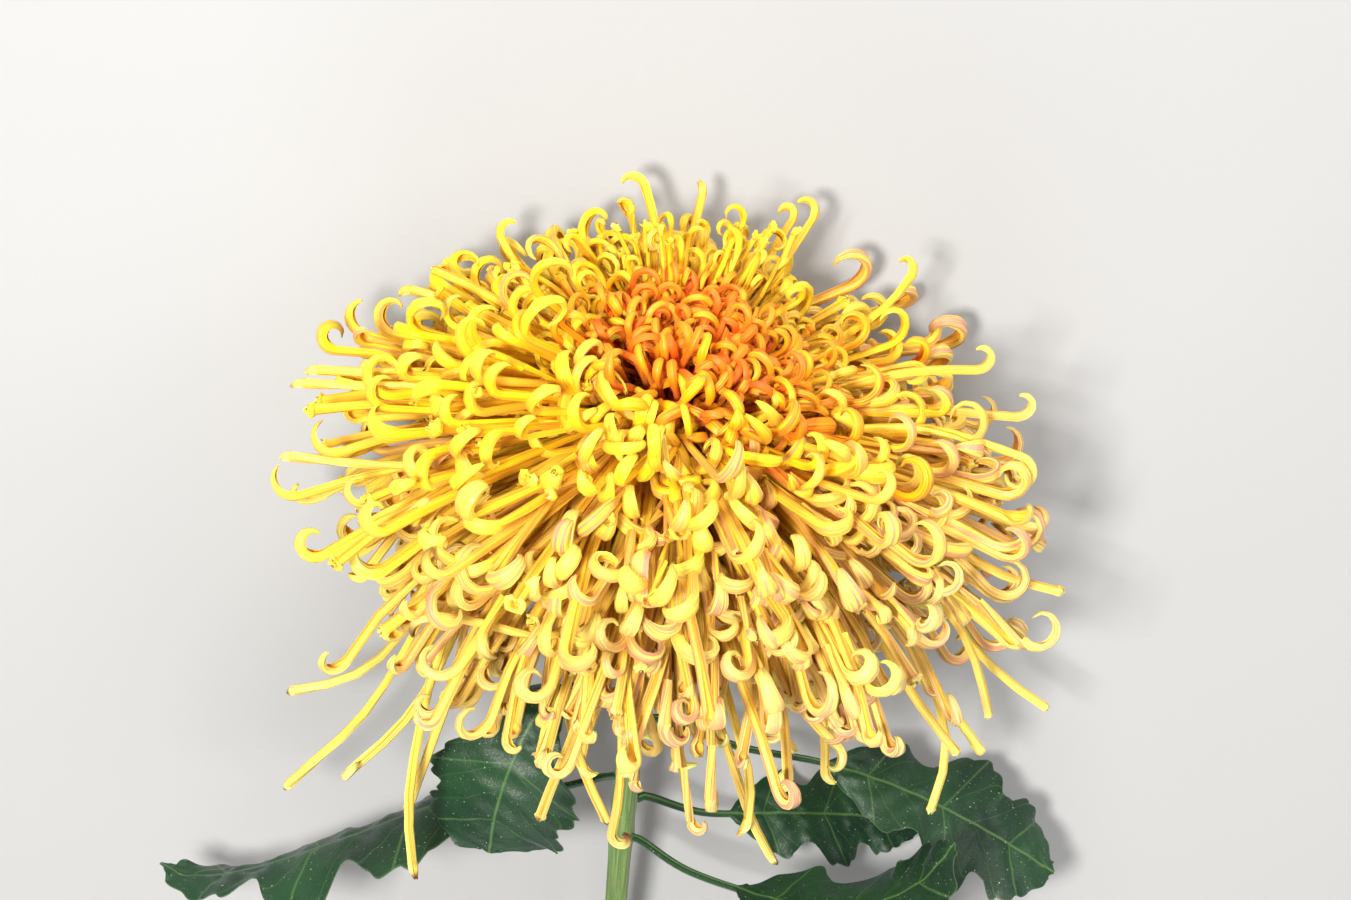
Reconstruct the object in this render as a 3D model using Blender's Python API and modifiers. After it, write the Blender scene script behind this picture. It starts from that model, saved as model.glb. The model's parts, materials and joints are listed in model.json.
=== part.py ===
"""A spider chrysanthemum, cut with its leafy stem and laid on a flat surface.

The flower is worked out as it grows: from the middle of the receptacle, x runs to the viewer's
right, y away from the viewer and z up the plant. `laid` then tips it over backwards, so that the
crown points along +Y, the side that faced the viewer looks up, and the surface is at z = 0.
Everything is in metres.
"""
import math

import bmesh
import bpy
import numpy as np
from mathutils import Vector

MM = 0.001

# How the flower lies: the slope of its stem, the height of its receptacle, and the place of the origin.
LIE_SLOPE = math.radians(14)
RECEPTACLE_HEIGHT = 0.068
ORIGIN_SHIFT = (0.017, 0.0925)
GAP = 0.0003

# The viewing side, used to place what stands out of the bloom where it is seen.
VIEW_HEIGHT = math.radians(27)
VIEW_DISTANCE = 1.05

# The bloom.
SEED = 11
GOLDEN_ANGLE = math.radians(137.508)
HEART_COUNT = 140
RAY_COUNT = 480
KEPT_OF_HEART = 3
KEPT_OF_RAYS = 4
HEART_SPREAD = math.radians(36)
RAY_FIRST = math.radians(50)
RAY_LAST = math.radians(118)
BLOOM_LEAN = math.radians(7)
HEART_LEAN = math.radians(12)
QUILL_STEPS = 14
CURL_STEPS = 24
KEPT_RINGS = (0, 7, 14, 20, 26, 32, 38)
KEPT_WIDTHS = (1.0, 1.6, 2.0, 2.8, 2.7, 2.1, 0.9)
RAY_ROOT = 0.008
HEART_ROOT = 0.014
CORE_RADIUS = 0.020
PIT_ANGLE = math.radians(42)
PIT_DEPTH = 0.013

# The stem and the green cup under the bloom.
STEM_RADIUS = 0.0038
STEM_LENGTH = 0.2655
CUP_HEIGHT = 0.020
CUP_RADIUS = 0.0148
BRACTS = 13

# The leaves.
LEAF_THICKNESS = 0.0008
PETIOLE_THICKNESS = 0.0026
LEAF_STATIONS = 30

# Long florets that stand out of the bloom. Each is given by the points where it is seen, in mm to the
# right of the receptacle, above it and in front of the stem, and then by its curl: turn in degrees,
# radius in mm, and roll in degrees from its upper side.
LONG_FLORETS = (
    ([(-26, -53, 60), (-30, -75, 60), (-28, -88, 58), (-24, -101, 55), (-18, -113, 52)], (20, 8, 0)),
    ([(-17, -56, 66), (-22, -72, 68), (-28, -91, 66), (-34, -103, 62), (-37, -112, 60)], (30, 5, 0)),
    ([(-12, -63, 62), (-13, -88, 60), (-13, -106, 56), (-16, -118, 53)], (270, 2.5, -90)),
    ([(-13, -60, 56), (-18, -75, 57), (-24, -88, 56), (-25, -95, 55)], (150, 3.5, -80)),
    ([(-11, -60, 64), (-7, -75, 66), (-2, -91, 64)], (330, 3, 120)),
    ([(2, -46, 55), (5, -61, 58), (5, -76, 56), (3, -93, 54)], (120, 5, -90)),
    ([(-26, -57, 60), (-39, -60, 68), (-55, -54, 68), (-68, -53, 60)], (80, 12, 175)),
    ([(-68, -62, 36), (-73, -88, 46), (-78, -107, 50), (-76, -126, 50)], (40, 9, -90)),
    ([(-60, -66, 38), (-70, -91, 40), (-77, -110, 36)], (20, 8, 0)),
    ([(-84, -74, 14), (-96, -89, 13), (-106, -96, 11), (-113, -103, 10)], (20, 8, 180)),
    ([(-71, -75, 22), (-81, -88, 24), (-92, -97, 24)], (290, 3.2, -60)),
    ([(-80, -60, 15), (-90, -70, 14), (-99, -74, 13), (-111, -75, 12)], (20, 8, 180)),
    ([(16, -66, 48), (22, -88, 50), (27, -105, 49), (25, -113, 48)], (60, 7, 90)),
    ([(12, -70, 46), (22, -101, 46), (25, -114, 44), (31, -124, 42)], (25, 12, -90)),
    ([(22, -66, 60), (29, -80, 62), (37, -91, 60)], (40, 5, 0)),
    ([(33, -68, 50), (43, -83, 52), (52, -92, 50)], (190, 3.4, 90)),
    ([(46, -76, 36), (48, -90, 36), (48, -99, 34)], (110, 3, 0)),
    ([(70, -70, 30), (80, -84, 31), (87, -93, 30)], (20, 5, 0)),
    ([(78, -70, 14), (87, -82, 15), (94, -92, 14)], (230, 2.6, -120)),
    ([(89, -56, 20), (94, -70, 21), (97, -82, 20)], (15, 5, 0)),
    ([(92, -62, 5), (103, -73, 5), (114, -80, 5)], (10, 5, 0)),
    ([(92, -36, 15), (104, -42, 15), (117, -45, 14)], (40, 4, 0)),
    ([(83, -80, 16), (86, -94, 22), (80, -110, 26)], (15, 8, 0)),
    ([(-57, 20, 10), (-85, 20, 10), (-104, 21, 10)], (40, 5, 180)),
    ([(-62, 16, 16), (-85, 16, 15), (-108, 17, 14)], (35, 7, 180)),
    ([(-54, 37, -30), (-66, 43, -33), (-76, 45, -34)], (90, 3, 180)),
    ([(-46, 39, -18), (-60, 47, -20), (-69, 51, -21)], (10, 5, 0)),
    ([(-40, 47, -40), (-47, 55, -46), (-49, 60, -48)], (150, 3.6, 60)),
    ([(-2, 58, -48), (-4, 69, -56), (-6, 76, -60)], (150, 3.8, -90)),
    ([(6, 54, -46), (9, 65, -54), (11, 73, -60)], (50, 6, -90)),
    ([(30, 46, -44), (40, 60, -54), (44, 66, -57)], (160, 4, -80)),
    ([(27, 48, -46), (34, 60, -54), (38, 66, -58)], (200, 2.6, -80)),
    ([(58, 34, -28), (70, 43, -34), (73, 48, -36)], (150, 4.4, -80)),
    ([(76, 4, 20), (95, -1, 20), (107, -5, 19)], (250, 4.6, 180)),
    ([(70, 10, 10), (91, 8, 10), (105, 7, 9)], (200, 3.6, 0)),
    ([(60, 18, 0), (77, 21, 0), (93, 21, -1)], (210, 3.6, 0)),
    ([(-70, -8, 24), (-92, -7, 22), (-112, -5, 20)], (30, 6, 180)),
)

# Florets that lie on the surface at each side of the weight and carry the bloom: azimuth, polar angle and
# length of each, in degrees and mm.
RESTING_FLORETS = ((60, 98, 100), (120, 98, 100), (90, 88, 92), (40, 104, 106), (140, 104, 106))

# The leaves: name, how far below the receptacle it joins the stem, where the midrib is seen (as above), the
# way the upper face looks (right, up and towards the viewer), the half width in mm, where the blade begins,
# an exponent that moves its widest place (above 1: nearer the tip), how far the sides arch, and the wave.
LEAVES = (
    (
        "leaf_left",
        0.118,
        [(-36, -105, 6), (-67, -109, 12), (-95, -119, 14), (-122, -128, 13), (-142, -131, 10), (-152, -127, 6)],
        (0.05, 0.95, 0.30), 25, 0.30, 0.62, 0.45, 0.0022,
    ),
    (
        "leaf_front",
        0.078,
        [(-24, -72, 16), (-38, -82, 26), (-46, -97, 32), (-51, -112, 33), (-53, -124, 29)],
        (-0.05, 0.20, 1.0), 25, 0.24, 1.35, 0.25, 0.0020,
    ),
    (
        "leaf_right",
        0.098,
        [(22, -92, -4), (48, -97, -2), (72, -105, 0), (96, -117, 2), (117, -130, 2)],
        (0.10, 0.50, 0.85), 24, 0.42, 1.05, 0.20, 0.0022,
    ),
    (
        "leaf_low",
        0.140,
        [(8, -130, 16), (34, -138, 30), (58, -140, 36), (76, -133, 38), (87, -121, 36)],
        (-0.10, 0.80, 0.60), 24, 0.34, 0.90, 0.30, 0.0024,
    ),
    (
        "leaf_back",
        0.128,
        [(12, -112, -8), (36, -112, -15), (60, -113, -21), (77, -117, -24)],
        (0.05, 0.35, 0.95), 17, 0.34, 0.80, 0.20, 0.0016,
    ),
)

COLOURS = {
    "petal_yellow": ((0.95, 0.66, 0.06), 0.45),
    "petal_orange": ((0.92, 0.32, 0.03), 0.45),
    "leaf_green": ((0.03, 0.12, 0.04), 0.55),
    "stem_green": ((0.14, 0.25, 0.06), 0.55),
}


def unit(v):
    """Each vector of an array at length 1."""
    return v / np.linalg.norm(v, axis=-1, keepdims=True)


def laid(v):
    """A direction of the growing flower, once it is tipped over on its back."""
    x, y, z = np.moveaxis(np.asarray(v, float), -1, 0)
    s, c = math.sin(LIE_SLOPE), math.cos(LIE_SLOPE)
    return np.stack([x, y * s + z * c, z * s - y * c], axis=-1)


def laid_place(p):
    """A place of the growing flower, once it lies on the surface."""
    return laid(p) + (ORIGIN_SHIFT[0], ORIGIN_SHIFT[1], RECEPTACLE_HEIGHT)


def seen(points):
    """Places of the growing flower, in metres, from (right, up, in front of the stem) as seen, in mm."""
    right, up, front = np.moveaxis(np.asarray(points, float) * MM, -1, 0)
    s, c = math.sin(VIEW_HEIGHT), math.cos(VIEW_HEIGHT)
    z = (up + front * s) / c
    nearer = 1 + (-front * c - z * s) / VIEW_DISTANCE
    return np.stack([right * nearer, -front, (up * nearer + front * s) / c], axis=-1)


def seen_direction(v):
    """A direction of the growing flower from (right, up, towards the viewer) as seen."""
    right, up, near = v
    s, c = math.sin(VIEW_HEIGHT), math.cos(VIEW_HEIGHT)
    return np.array([right, up * s - near * c, up * c + near * s])


def smooth_curve(points, shares):
    """The points at the given shares of the length of a Catmull-Rom curve through `points`."""
    p = np.asarray(points, float)
    p = np.concatenate([[2 * p[0] - p[1]], p, [2 * p[-1] - p[-2]]])
    t = np.linspace(0, 1, 16, endpoint=False)[:, None]
    spans = []
    for a, b, c, d in zip(p, p[1:], p[2:], p[3:]):
        spans.append(0.5 * (2 * b + (c - a) * t + (2 * a - 5 * b + 4 * c - d) * t**2
                            + (3 * b - a - 3 * c + d) * t**3))
    fine = np.concatenate([*spans, [p[-2]]])
    along = np.concatenate([[0], np.cumsum(np.linalg.norm(np.diff(fine, axis=0), axis=1))])
    at = np.asarray(shares) * along[-1]
    return np.stack([np.interp(at, along, fine[:, k]) for k in range(3)], axis=1)


def leaned(v, lean):
    """Directions turned by the angle `lean` towards the viewer's right."""
    x, y, z = np.moveaxis(v, -1, 0)
    return np.stack([x * np.cos(lean) + z * np.sin(lean), y, z * np.cos(lean) - x * np.sin(lean)], axis=-1)


def bloom_plan():
    """The florets' own numbers, in rows from the heart outwards.

    Florets follow the golden angle. Those of the heart are short and roll inwards. The rays grow longer
    and hang more the lower they start. Every random draw comes from one seeded source."""
    draw = np.random.default_rng(SEED)
    total = HEART_COUNT + RAY_COUNT
    i = np.arange(total)
    heart = i < HEART_COUNT
    share = np.where(heart, (i + 0.5) / HEART_COUNT, (i - HEART_COUNT + 0.5) / RAY_COUNT)
    cos_ray = math.cos(RAY_FIRST) + share * (math.cos(RAY_LAST) - math.cos(RAY_FIRST))
    polar = np.where(heart, HEART_SPREAD * np.sqrt(share), np.arccos(cos_ray))
    degrees = np.degrees(polar)
    noise = draw.standard_normal((9, total)).clip(-2, 2)
    spin = draw.random((3, total))
    plan = {
        "azimuth": i * GOLDEN_ANGLE + np.radians(3) * noise[0],
        "polar": np.maximum(polar + np.radians(np.where(heart, 1.5, 2.5)) * noise[1], np.where(heart, 0, RAY_FIRST)),
        "quill": MM * np.where(
            heart,
            42 + 4.0 * noise[2],
            np.interp(degrees, (50, 60, 75, 90, 105, 118), (52, 62, 78, 92, 96, 94)) * (1 + 0.10 * noise[2]),
        ),
        "droop": np.radians(np.where(
            heart,
            -6 + 14 * share + 11 * noise[3],
            np.interp(degrees, (50, 60, 75, 90, 105, 118), (4, 12, 12, 20, 42, 54)) + 6 * noise[3],
        )),
        "sway": np.radians(12) * noise[4],
        "curl": np.radians(np.where(heart, 220 + 35 * noise[5], 215 + 50 * noise[5])),
        "curl_radius": MM * np.where(heart, 3.6 + 0.6 * noise[6], 4.7 + 0.9 * noise[6]),
        "roll": np.radians(np.where(heart, 40 * noise[7], np.where(spin[0] < 0.72, 32 * noise[7], 360 * spin[1]))),
        "rest": MM * (1.4 + 10 * spin[2] ** 1.5),
        "reach": np.full(total, 30 * MM),
        "untwist": np.zeros(total),
        "root": np.where(heart, HEART_ROOT, RAY_ROOT),
        "width": 1 + 0.10 * noise[8],
        "heart": heart,
    }
    straight = (~heart) & (draw.random(total) < 0.10)
    plan["curl"] = np.where(straight, np.radians(35), plan["curl"])
    return plan


def start_frames(polar, azimuth, lean):
    """The direction in which each floret sets off and the way its upper side looks."""
    sp, cp, sa, ca = np.sin(polar), np.cos(polar), np.sin(azimuth), np.cos(azimuth)
    along = np.stack([sp * ca, sp * sa, cp], axis=-1)
    upper = np.stack([-cp * ca, -cp * sa, sp], axis=-1)
    return laid(leaned(along, lean)), laid(leaned(upper, lean))


def turned(along, upper, up_turn, side_turn):
    """Both directions of a frame, turned by small angles towards its upper side and sideways."""
    upper = unit(upper - along * np.sum(upper * along, axis=1, keepdims=True))
    side = np.cross(along, upper)
    ahead = unit(along + upper * np.tan(up_turn)[:, None] + side * np.tan(side_turn)[:, None])
    return ahead, unit(upper - ahead * np.sum(upper * ahead, axis=1, keepdims=True))


def eased_down(place, along, upper, rest, reach):
    """Directions turned level where they head down and the surface is close."""
    room = np.clip((place[:, 2] - rest) / reach, 0, 1)
    fall = np.where(along[:, 2] < 0, room * (2 - room), 1)
    level = along.copy()
    level[:, 2] *= fall
    level = unit(level)
    return level, unit(upper - level * np.sum(upper * level, axis=1, keepdims=True))


def grow_quills(plan):
    """The long part of each floret: it droops steadily, and lies along the surface where it meets it."""
    lean = BLOOM_LEAN + HEART_LEAN * np.clip((math.radians(95) - plan["polar"]) / math.radians(45), 0, 1)
    along, upper = start_frames(plan["polar"], plan["azimuth"], lean)
    place = laid_place(np.zeros(3)) + along * plan["root"][:, None]
    step = (plan["quill"] - plan["root"]) / QUILL_STEPS
    rings = [(place, along, upper)]
    for k in range(QUILL_STEPS):
        share = 2 * (k + 0.5) / QUILL_STEPS**2
        swing = math.sin(math.pi * (k + 0.5) / QUILL_STEPS) * math.pi / (2 * QUILL_STEPS)
        upper = upper + plan["untwist"][:, None] * (0, 0, 0.4)
        along, upper = turned(along, upper, -plan["droop"] * share, plan["sway"] * swing)
        along, upper = eased_down(place, along, upper, plan["rest"], plan["reach"])
        place = place + along * step[:, None]
        place[:, 2] = np.maximum(place[:, 2], plan["rest"])
        rings.append((place, along, upper))
    return rings


def long_quills():
    """The long part of the florets in LONG_FLORETS, as rings of (place, along, upper)."""
    lines = []
    for points, _ in LONG_FLORETS:
        outer = seen(points)
        lift = np.array([0, 0, 0.5 * max(0, -outer[0][2])])
        first = unit(outer[0] + 2 * lift) * RAY_ROOT
        curve = smooth_curve([first, 0.5 * outer[0] + lift, *outer], np.linspace(0, 1, QUILL_STEPS + 1))
        lines.append(laid_place(curve))
    place = np.stack(lines, axis=1)
    along = unit(np.gradient(place, axis=0))
    away = unit(place[1] - laid_place(np.zeros(3)))
    upper = unit(laid([0.0, 0.0, 1.0]) - away * (away @ laid([0.0, 0.0, 1.0]))[:, None])
    rings = []
    for p, a in zip(place, along):
        upper = unit(upper - a * np.sum(upper * a, axis=1, keepdims=True))
        rings.append((p, a, upper))
    return rings


def grow_curls(rings, curl, radius, roll, rest):
    """Adds the curled end, which tightens towards the tip."""
    place, along, upper = rings[-1]
    shares = np.linspace(0.6, 1.4, CURL_STEPS) / CURL_STEPS
    step = curl * radius / CURL_STEPS
    rings = list(rings)
    for share in shares:
        turn = curl * share
        along, upper = turned(along, upper, turn * np.cos(roll), turn * np.sin(roll))
        along, upper = eased_down(place, along, upper, rest, 0.006)
        place = place + along * step[:, None]
        place[:, 2] = np.maximum(place[:, 2], rest)
        rings.append((place, along, upper))
    return rings


def stacked(rings):
    """Rings of (place, along, upper) as one array of florets x rings x (place, along, upper) x 3."""
    return np.stack([np.stack(ring, axis=1) for ring in rings], axis=1)


def near_miss(florets, obstacles):
    """Which florets come within reach of an obstacle. An obstacle is a place and the clearance it needs."""
    line = florets[:, :, 0]
    line = np.concatenate([line, (line[:, 1:] + line[:, :-1]) / 2], axis=1)
    flat = line.reshape(-1, 3)
    where, reach = obstacles[:, :3], obstacles[:, 3]
    apart = (flat**2).sum(1)[:, None] + (where**2).sum(1) - 2 * flat @ where.T
    return (apart < reach**2).any(axis=1).reshape(line.shape[:2]).any(axis=1)


def chosen(plan, keep):
    """The rows of a plan that `keep` picks."""
    return {name: values[keep] for name, values in plan.items()}


def grown(plan, obstacles):
    """The florets of a plan, each shortened until it clears the obstacles, and left out if it can't."""
    plan = {name: values.copy() for name, values in plan.items()}
    curled = (plan["curl"], plan["curl_radius"], plan["roll"], plan["rest"])
    florets = stacked(grow_curls(grow_quills(plan), *curled))
    for _ in range(7):
        caught = np.flatnonzero(near_miss(florets, obstacles))
        if not len(caught):
            break
        plan["quill"][caught] *= 0.90
        few = chosen(plan, caught)
        curled = (few["curl"], few["curl_radius"], few["roll"], few["rest"])
        florets[caught] = stacked(grow_curls(grow_quills(few), *curled))
    clear = ~near_miss(florets, obstacles)
    return florets[clear], chosen(plan, clear)


def long_florets():
    """The florets in LONG_FLORETS."""
    curls = np.array([curl for _, curl in LONG_FLORETS], float)
    rest = np.full(len(curls), 2 * MM)
    return stacked(grow_curls(long_quills(), np.radians(curls[:, 0]), curls[:, 1] * MM, np.radians(curls[:, 2]), rest))


def eye_plan(plan):
    """Leaves out the florets round the small dark gap in front of the heart."""
    eye = unit(np.array([-4.5, -30.8, 32.4]))
    lean = BLOOM_LEAN + HEART_LEAN * np.clip((math.radians(95) - plan["polar"]) / math.radians(45), 0, 1)
    along, _ = start_frames(plan["polar"], plan["azimuth"], lean)
    return chosen(plan, along @ laid(eye) < math.cos(math.radians(7)))


def resting_plan():
    """The few florets that carry the bloom on the surface."""
    rows = np.array(RESTING_FLORETS, float)
    n = len(rows)
    return {
        "azimuth": np.radians(rows[:, 0]), "polar": np.radians(rows[:, 1]), "quill": rows[:, 2] * MM,
        "droop": np.zeros(n), "sway": np.zeros(n), "curl": np.full(n, np.radians(70)),
        "curl_radius": np.full(n, 9 * MM), "roll": np.full(n, np.radians(90)), "rest": np.full(n, 0.4 * MM),
        "reach": np.full(n, 9 * MM), "untwist": np.ones(n), "root": np.full(n, RAY_ROOT),
        "width": np.full(n, 1.15), "heart": np.zeros(n, bool),
    }


def stem_line(depth):
    """Points of the stem's centre line at distances `depth` below the receptacle, before the flower is laid."""
    depth = np.asarray(depth, float)
    side = -math.tan(BLOOM_LEAN) * depth + 0.16 * depth**2
    return np.stack([side, np.zeros_like(depth), -depth], axis=-1)


def leaf_line(leaf, shares):
    """The midrib of a leaf at shares of its length, laid on the surface. It leaves the stem's skin squarely."""
    _, depth, points, *_ = leaf
    joint = stem_line(depth)
    outer = seen(points)
    across = outer[0] - joint
    across[2] = 0
    first, second = (joint + unit(across) * (STEM_RADIUS + GAP + d) for d in (0.1 * MM, 4 * MM))
    return laid_place(smooth_curve([first, second, *outer], shares))


def leaf_half_width(share, half, peak):
    """Half width of a blade at a share of its length: an oval cut by two deep bays, which leave three lobes."""
    oval = np.sin(np.pi * np.clip(share, 0, 1) ** peak) ** 0.85
    bays = 0.55 * np.exp(-(((share - 0.34) / 0.055) ** 2)) + 0.50 * np.exp(-(((share - 0.64) / 0.050) ** 2))
    return half * oval * (1 - bays)


def leaf_grid(leaf, stations, across):
    """The leaf's middle surface as stations x across points, with the share of full thickness at each station.

    The blade hangs from the midrib on both sides. Its edge is swept forwards, so the lobes point to the
    tip, its sides arch down, and its margin waves."""
    _, _, _, look, half, begin, peak, arch, wave = leaf
    place = np.concatenate([np.linspace(0, begin, 5)[:-1], np.linspace(begin, 1, stations - 4)])
    line = leaf_line(leaf, place)
    along = unit(np.gradient(line, axis=0))
    face = laid(seen_direction(look))
    face = unit(face - along * (along @ face)[:, None])
    side = np.cross(along, face)
    blade = (place - begin) / (1 - begin)
    width = np.maximum(leaf_half_width(blade, half * MM, peak) * (blade > 0), 1.4 * MM * (1 - 0.6 * place))
    v = np.linspace(-1, 1, across)[None, :, None]
    w = width[:, None, None]
    sweep = 0.42 * np.clip(blade, 0, 1)[:, None, None] ** 0.3 * (blade < 0.97)[:, None, None]
    ripple = wave * np.sin(place * 21 + 1.1)[:, None, None] * np.abs(v) ** 2 * np.sign(v + 0.2) * (w > 4 * MM)
    drop = arch * (w * np.abs(v)) ** 2 / (half * MM)
    grid = line[:, None] + side[:, None] * (w * v) + along[:, None] * (np.abs(w * v) * sweep)
    grid = grid + face[:, None] * (ripple - drop)
    grid[..., 2] = np.maximum(grid[..., 2], 1.2 * MM)
    thick = np.where(blade > 0.02, LEAF_THICKNESS / PETIOLE_THICKNESS, 1.0)
    return grid, thick


def obstacle_points():
    """The stem and the leaves as places, each with the distance that a floret keeps from it."""
    stem = laid_place(stem_line(np.arange(0.026, STEM_LENGTH, 0.003)))
    found = [np.column_stack([stem, np.full(len(stem), STEM_RADIUS + 2.6 * MM)])]
    for leaf in LEAVES:
        grid, _ = leaf_grid(leaf, 40, 13)
        points = grid.reshape(-1, 3)
        found.append(np.column_stack([points, np.full(len(points), 4.2 * MM)]))
    return np.concatenate(found)


def material(name):
    """A plain material in one of COLOURS."""
    colour, roughness = COLOURS[name]
    made = bpy.data.materials.new(name)
    made.use_nodes = True
    shader = made.node_tree.nodes["Principled BSDF"]
    shader.inputs["Base Color"].default_value = (*colour, 1)
    shader.inputs["Roughness"].default_value = roughness
    return made


def new_object(name, mesh, collection, finish=None):
    """An object that shows a mesh, in a collection."""
    made = bpy.data.objects.new(name, mesh)
    collection.objects.link(made)
    if finish:
        made.data.materials.append(finish)
    return made


def turned_mesh(name, profile, steps):
    """A closed mesh: a profile of (radius, height) points, from the top of the axis to its bottom, turned."""
    line = bpy.data.meshes.new(name + "_profile")
    line.from_pydata([(radius, 0, height) for radius, height in profile], [(k, k + 1) for k in range(len(profile) - 1)], [])
    holder = bpy.data.objects.new(name + "_profile", line)
    bpy.context.scene.collection.objects.link(holder)
    turn = holder.modifiers.new("turn", "SCREW")
    turn.axis = "Z"
    turn.steps = steps
    turn.render_steps = steps
    turn.use_merge_vertices = True
    turn.merge_threshold = 0.00001
    bpy.context.view_layer.update()
    made = bpy.data.meshes.new_from_object(holder.evaluated_get(bpy.context.evaluated_depsgraph_get()))
    bpy.data.objects.remove(holder)
    shape = bmesh.new()
    shape.from_mesh(made)
    bmesh.ops.remove_doubles(shape, verts=shape.verts, dist=0.00001)
    bmesh.ops.recalc_face_normals(shape, faces=shape.faces)
    bmesh.ops.triangulate(shape, faces=shape.faces)
    shape.to_mesh(made)
    shape.free()
    return made


def place_upright(mesh, lean):
    """Moves a mesh made round the z axis to the receptacle, leaned to the right and laid on the surface."""
    co = np.empty(len(mesh.vertices) * 3)
    mesh.vertices.foreach_get("co", co)
    co = laid_place(leaned(co.reshape(-1, 3), lean))
    mesh.vertices.foreach_set("co", co.ravel())
    mesh.update()


def floret_mesh(name, rings, width):
    """One floret: a three-sided tube with a flat underside, wide where the curl begins and narrow at its end."""
    place, along, upper = (rings[list(KEPT_RINGS), k] for k in range(3))
    side = np.cross(along, upper)
    half = (np.array(KEPT_WIDTHS) * MM * width)[:, None]
    deep = (0.62 + 0.10 * np.cos(np.linspace(0, math.pi, len(half))))[:, None] * half
    corners = np.stack([place - side * half - upper * deep / 2, place + side * half - upper * deep / 2,
                        place + upper * deep], axis=1)
    corners[..., 2] = np.maximum(corners[..., 2], 0)
    rows, n = len(corners), 3
    faces = []
    for r in range(rows - 1):
        for k in range(n):
            a, b = r * n + k, r * n + (k + 1) % n
            faces += [(b, a, b + n), (b + n, a, a + n)]
    faces += [(0, 1, 2), (n * (rows - 1) + 2, n * (rows - 1) + 1, n * (rows - 1))]
    made = bpy.data.meshes.new(name)
    made.from_pydata(corners.reshape(-1, 3).tolist(), [], faces)
    made.update()
    return made


def joined(name, core, florets, widths, collection, finish):
    """One solid: the core with its florets, whose roots are sunk in it, by one Boolean union."""
    bunch = bpy.data.collections.new(name + "_florets")
    bpy.context.scene.collection.children.link(bunch)
    for k, (rings, width) in enumerate(zip(florets, widths)):
        new_object(f"{name}_floret_{k}", floret_mesh(f"floret_{k}", rings, width), bunch)
    whole = new_object(name, core, collection, finish)
    union = whole.modifiers.new("union", "BOOLEAN")
    union.operation = "UNION"
    union.operand_type = "COLLECTION"
    union.collection = bunch
    union.solver = "MANIFOLD"
    bpy.context.view_layer.update()
    graph = bpy.context.evaluated_depsgraph_get()
    mesh = bpy.data.meshes.new_from_object(whole.evaluated_get(graph))
    whole.modifiers.clear()
    whole.data = mesh
    whole.data.materials.clear()
    whole.data.materials.append(finish)
    for floret in list(bunch.objects):
        bpy.data.objects.remove(floret)
    bpy.data.collections.remove(bunch)
    return whole


def ray_core():
    """The receptacle under the rays: a ball with a conical pit in its top for the heart."""
    edge = PIT_ANGLE + math.radians(3)
    angles = np.linspace(math.radians(160), edge, 6)
    ball = [(CORE_RADIUS * math.sin(a), CORE_RADIUS * math.cos(a)) for a in angles]
    pit = (PIT_DEPTH * math.sin(edge), PIT_DEPTH * math.cos(edge))
    return [(0, pit[1]), pit, *reversed(ball), (0, -CORE_RADIUS)]


def heart_core():
    """The receptacle's crown, which carries the heart: a cone with a domed top that stands in the pit."""
    edge = PIT_ANGLE
    low = PIT_DEPTH * math.cos(edge + math.radians(3)) + GAP
    dome = CORE_RADIUS * 1.05
    angles = np.linspace(edge, math.radians(8), 4)
    top = [(dome * math.sin(a), dome * math.cos(a)) for a in angles]
    return [(0, dome), *reversed(top), ((low - 0.0008) * math.tan(edge), low), (0, low)]


def make_bloom(collection, obstacles):
    """The heart's florets and the ray florets, each fused to its own part of the receptacle."""
    plan = eye_plan(bloom_plan())
    lean = BLOOM_LEAN + HEART_LEAN
    order = np.arange(len(plan["heart"]))
    heart_few = chosen(plan, plan["heart"] & (order % KEPT_OF_HEART == 0))
    ray_few = chosen(plan, ~plan["heart"] & (order % KEPT_OF_RAYS == 0))
    heart, heart_plan = grown(heart_few, obstacles)
    line = heart[:, 4:, 0].reshape(-1, 3)
    guarded = np.concatenate([obstacles, np.column_stack([line, np.full(len(line), 4.4 * MM)])])
    rays, ray_plan = grown(ray_few, guarded)
    resting, rest_plan = grown(resting_plan(), guarded)
    long = long_florets()
    long = long[~near_miss(long[:, 2:], guarded)]
    print("long florets kept:", len(long), "rays:", len(rays), "heart:", len(heart))
    core = turned_mesh("heart_core", heart_core(), 16)
    place_upright(core, lean)
    joined("heart_florets", core, heart, heart_plan["width"] * 0.8, collection, material("petal_orange"))
    core = turned_mesh("ray_core", ray_core(), 16)
    place_upright(core, lean)
    rays = np.concatenate([rays, resting, long])
    widths = np.concatenate([ray_plan["width"], rest_plan["width"], np.ones(len(long))])
    joined("ray_florets", core, rays, widths, collection, material("petal_yellow"))


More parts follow.
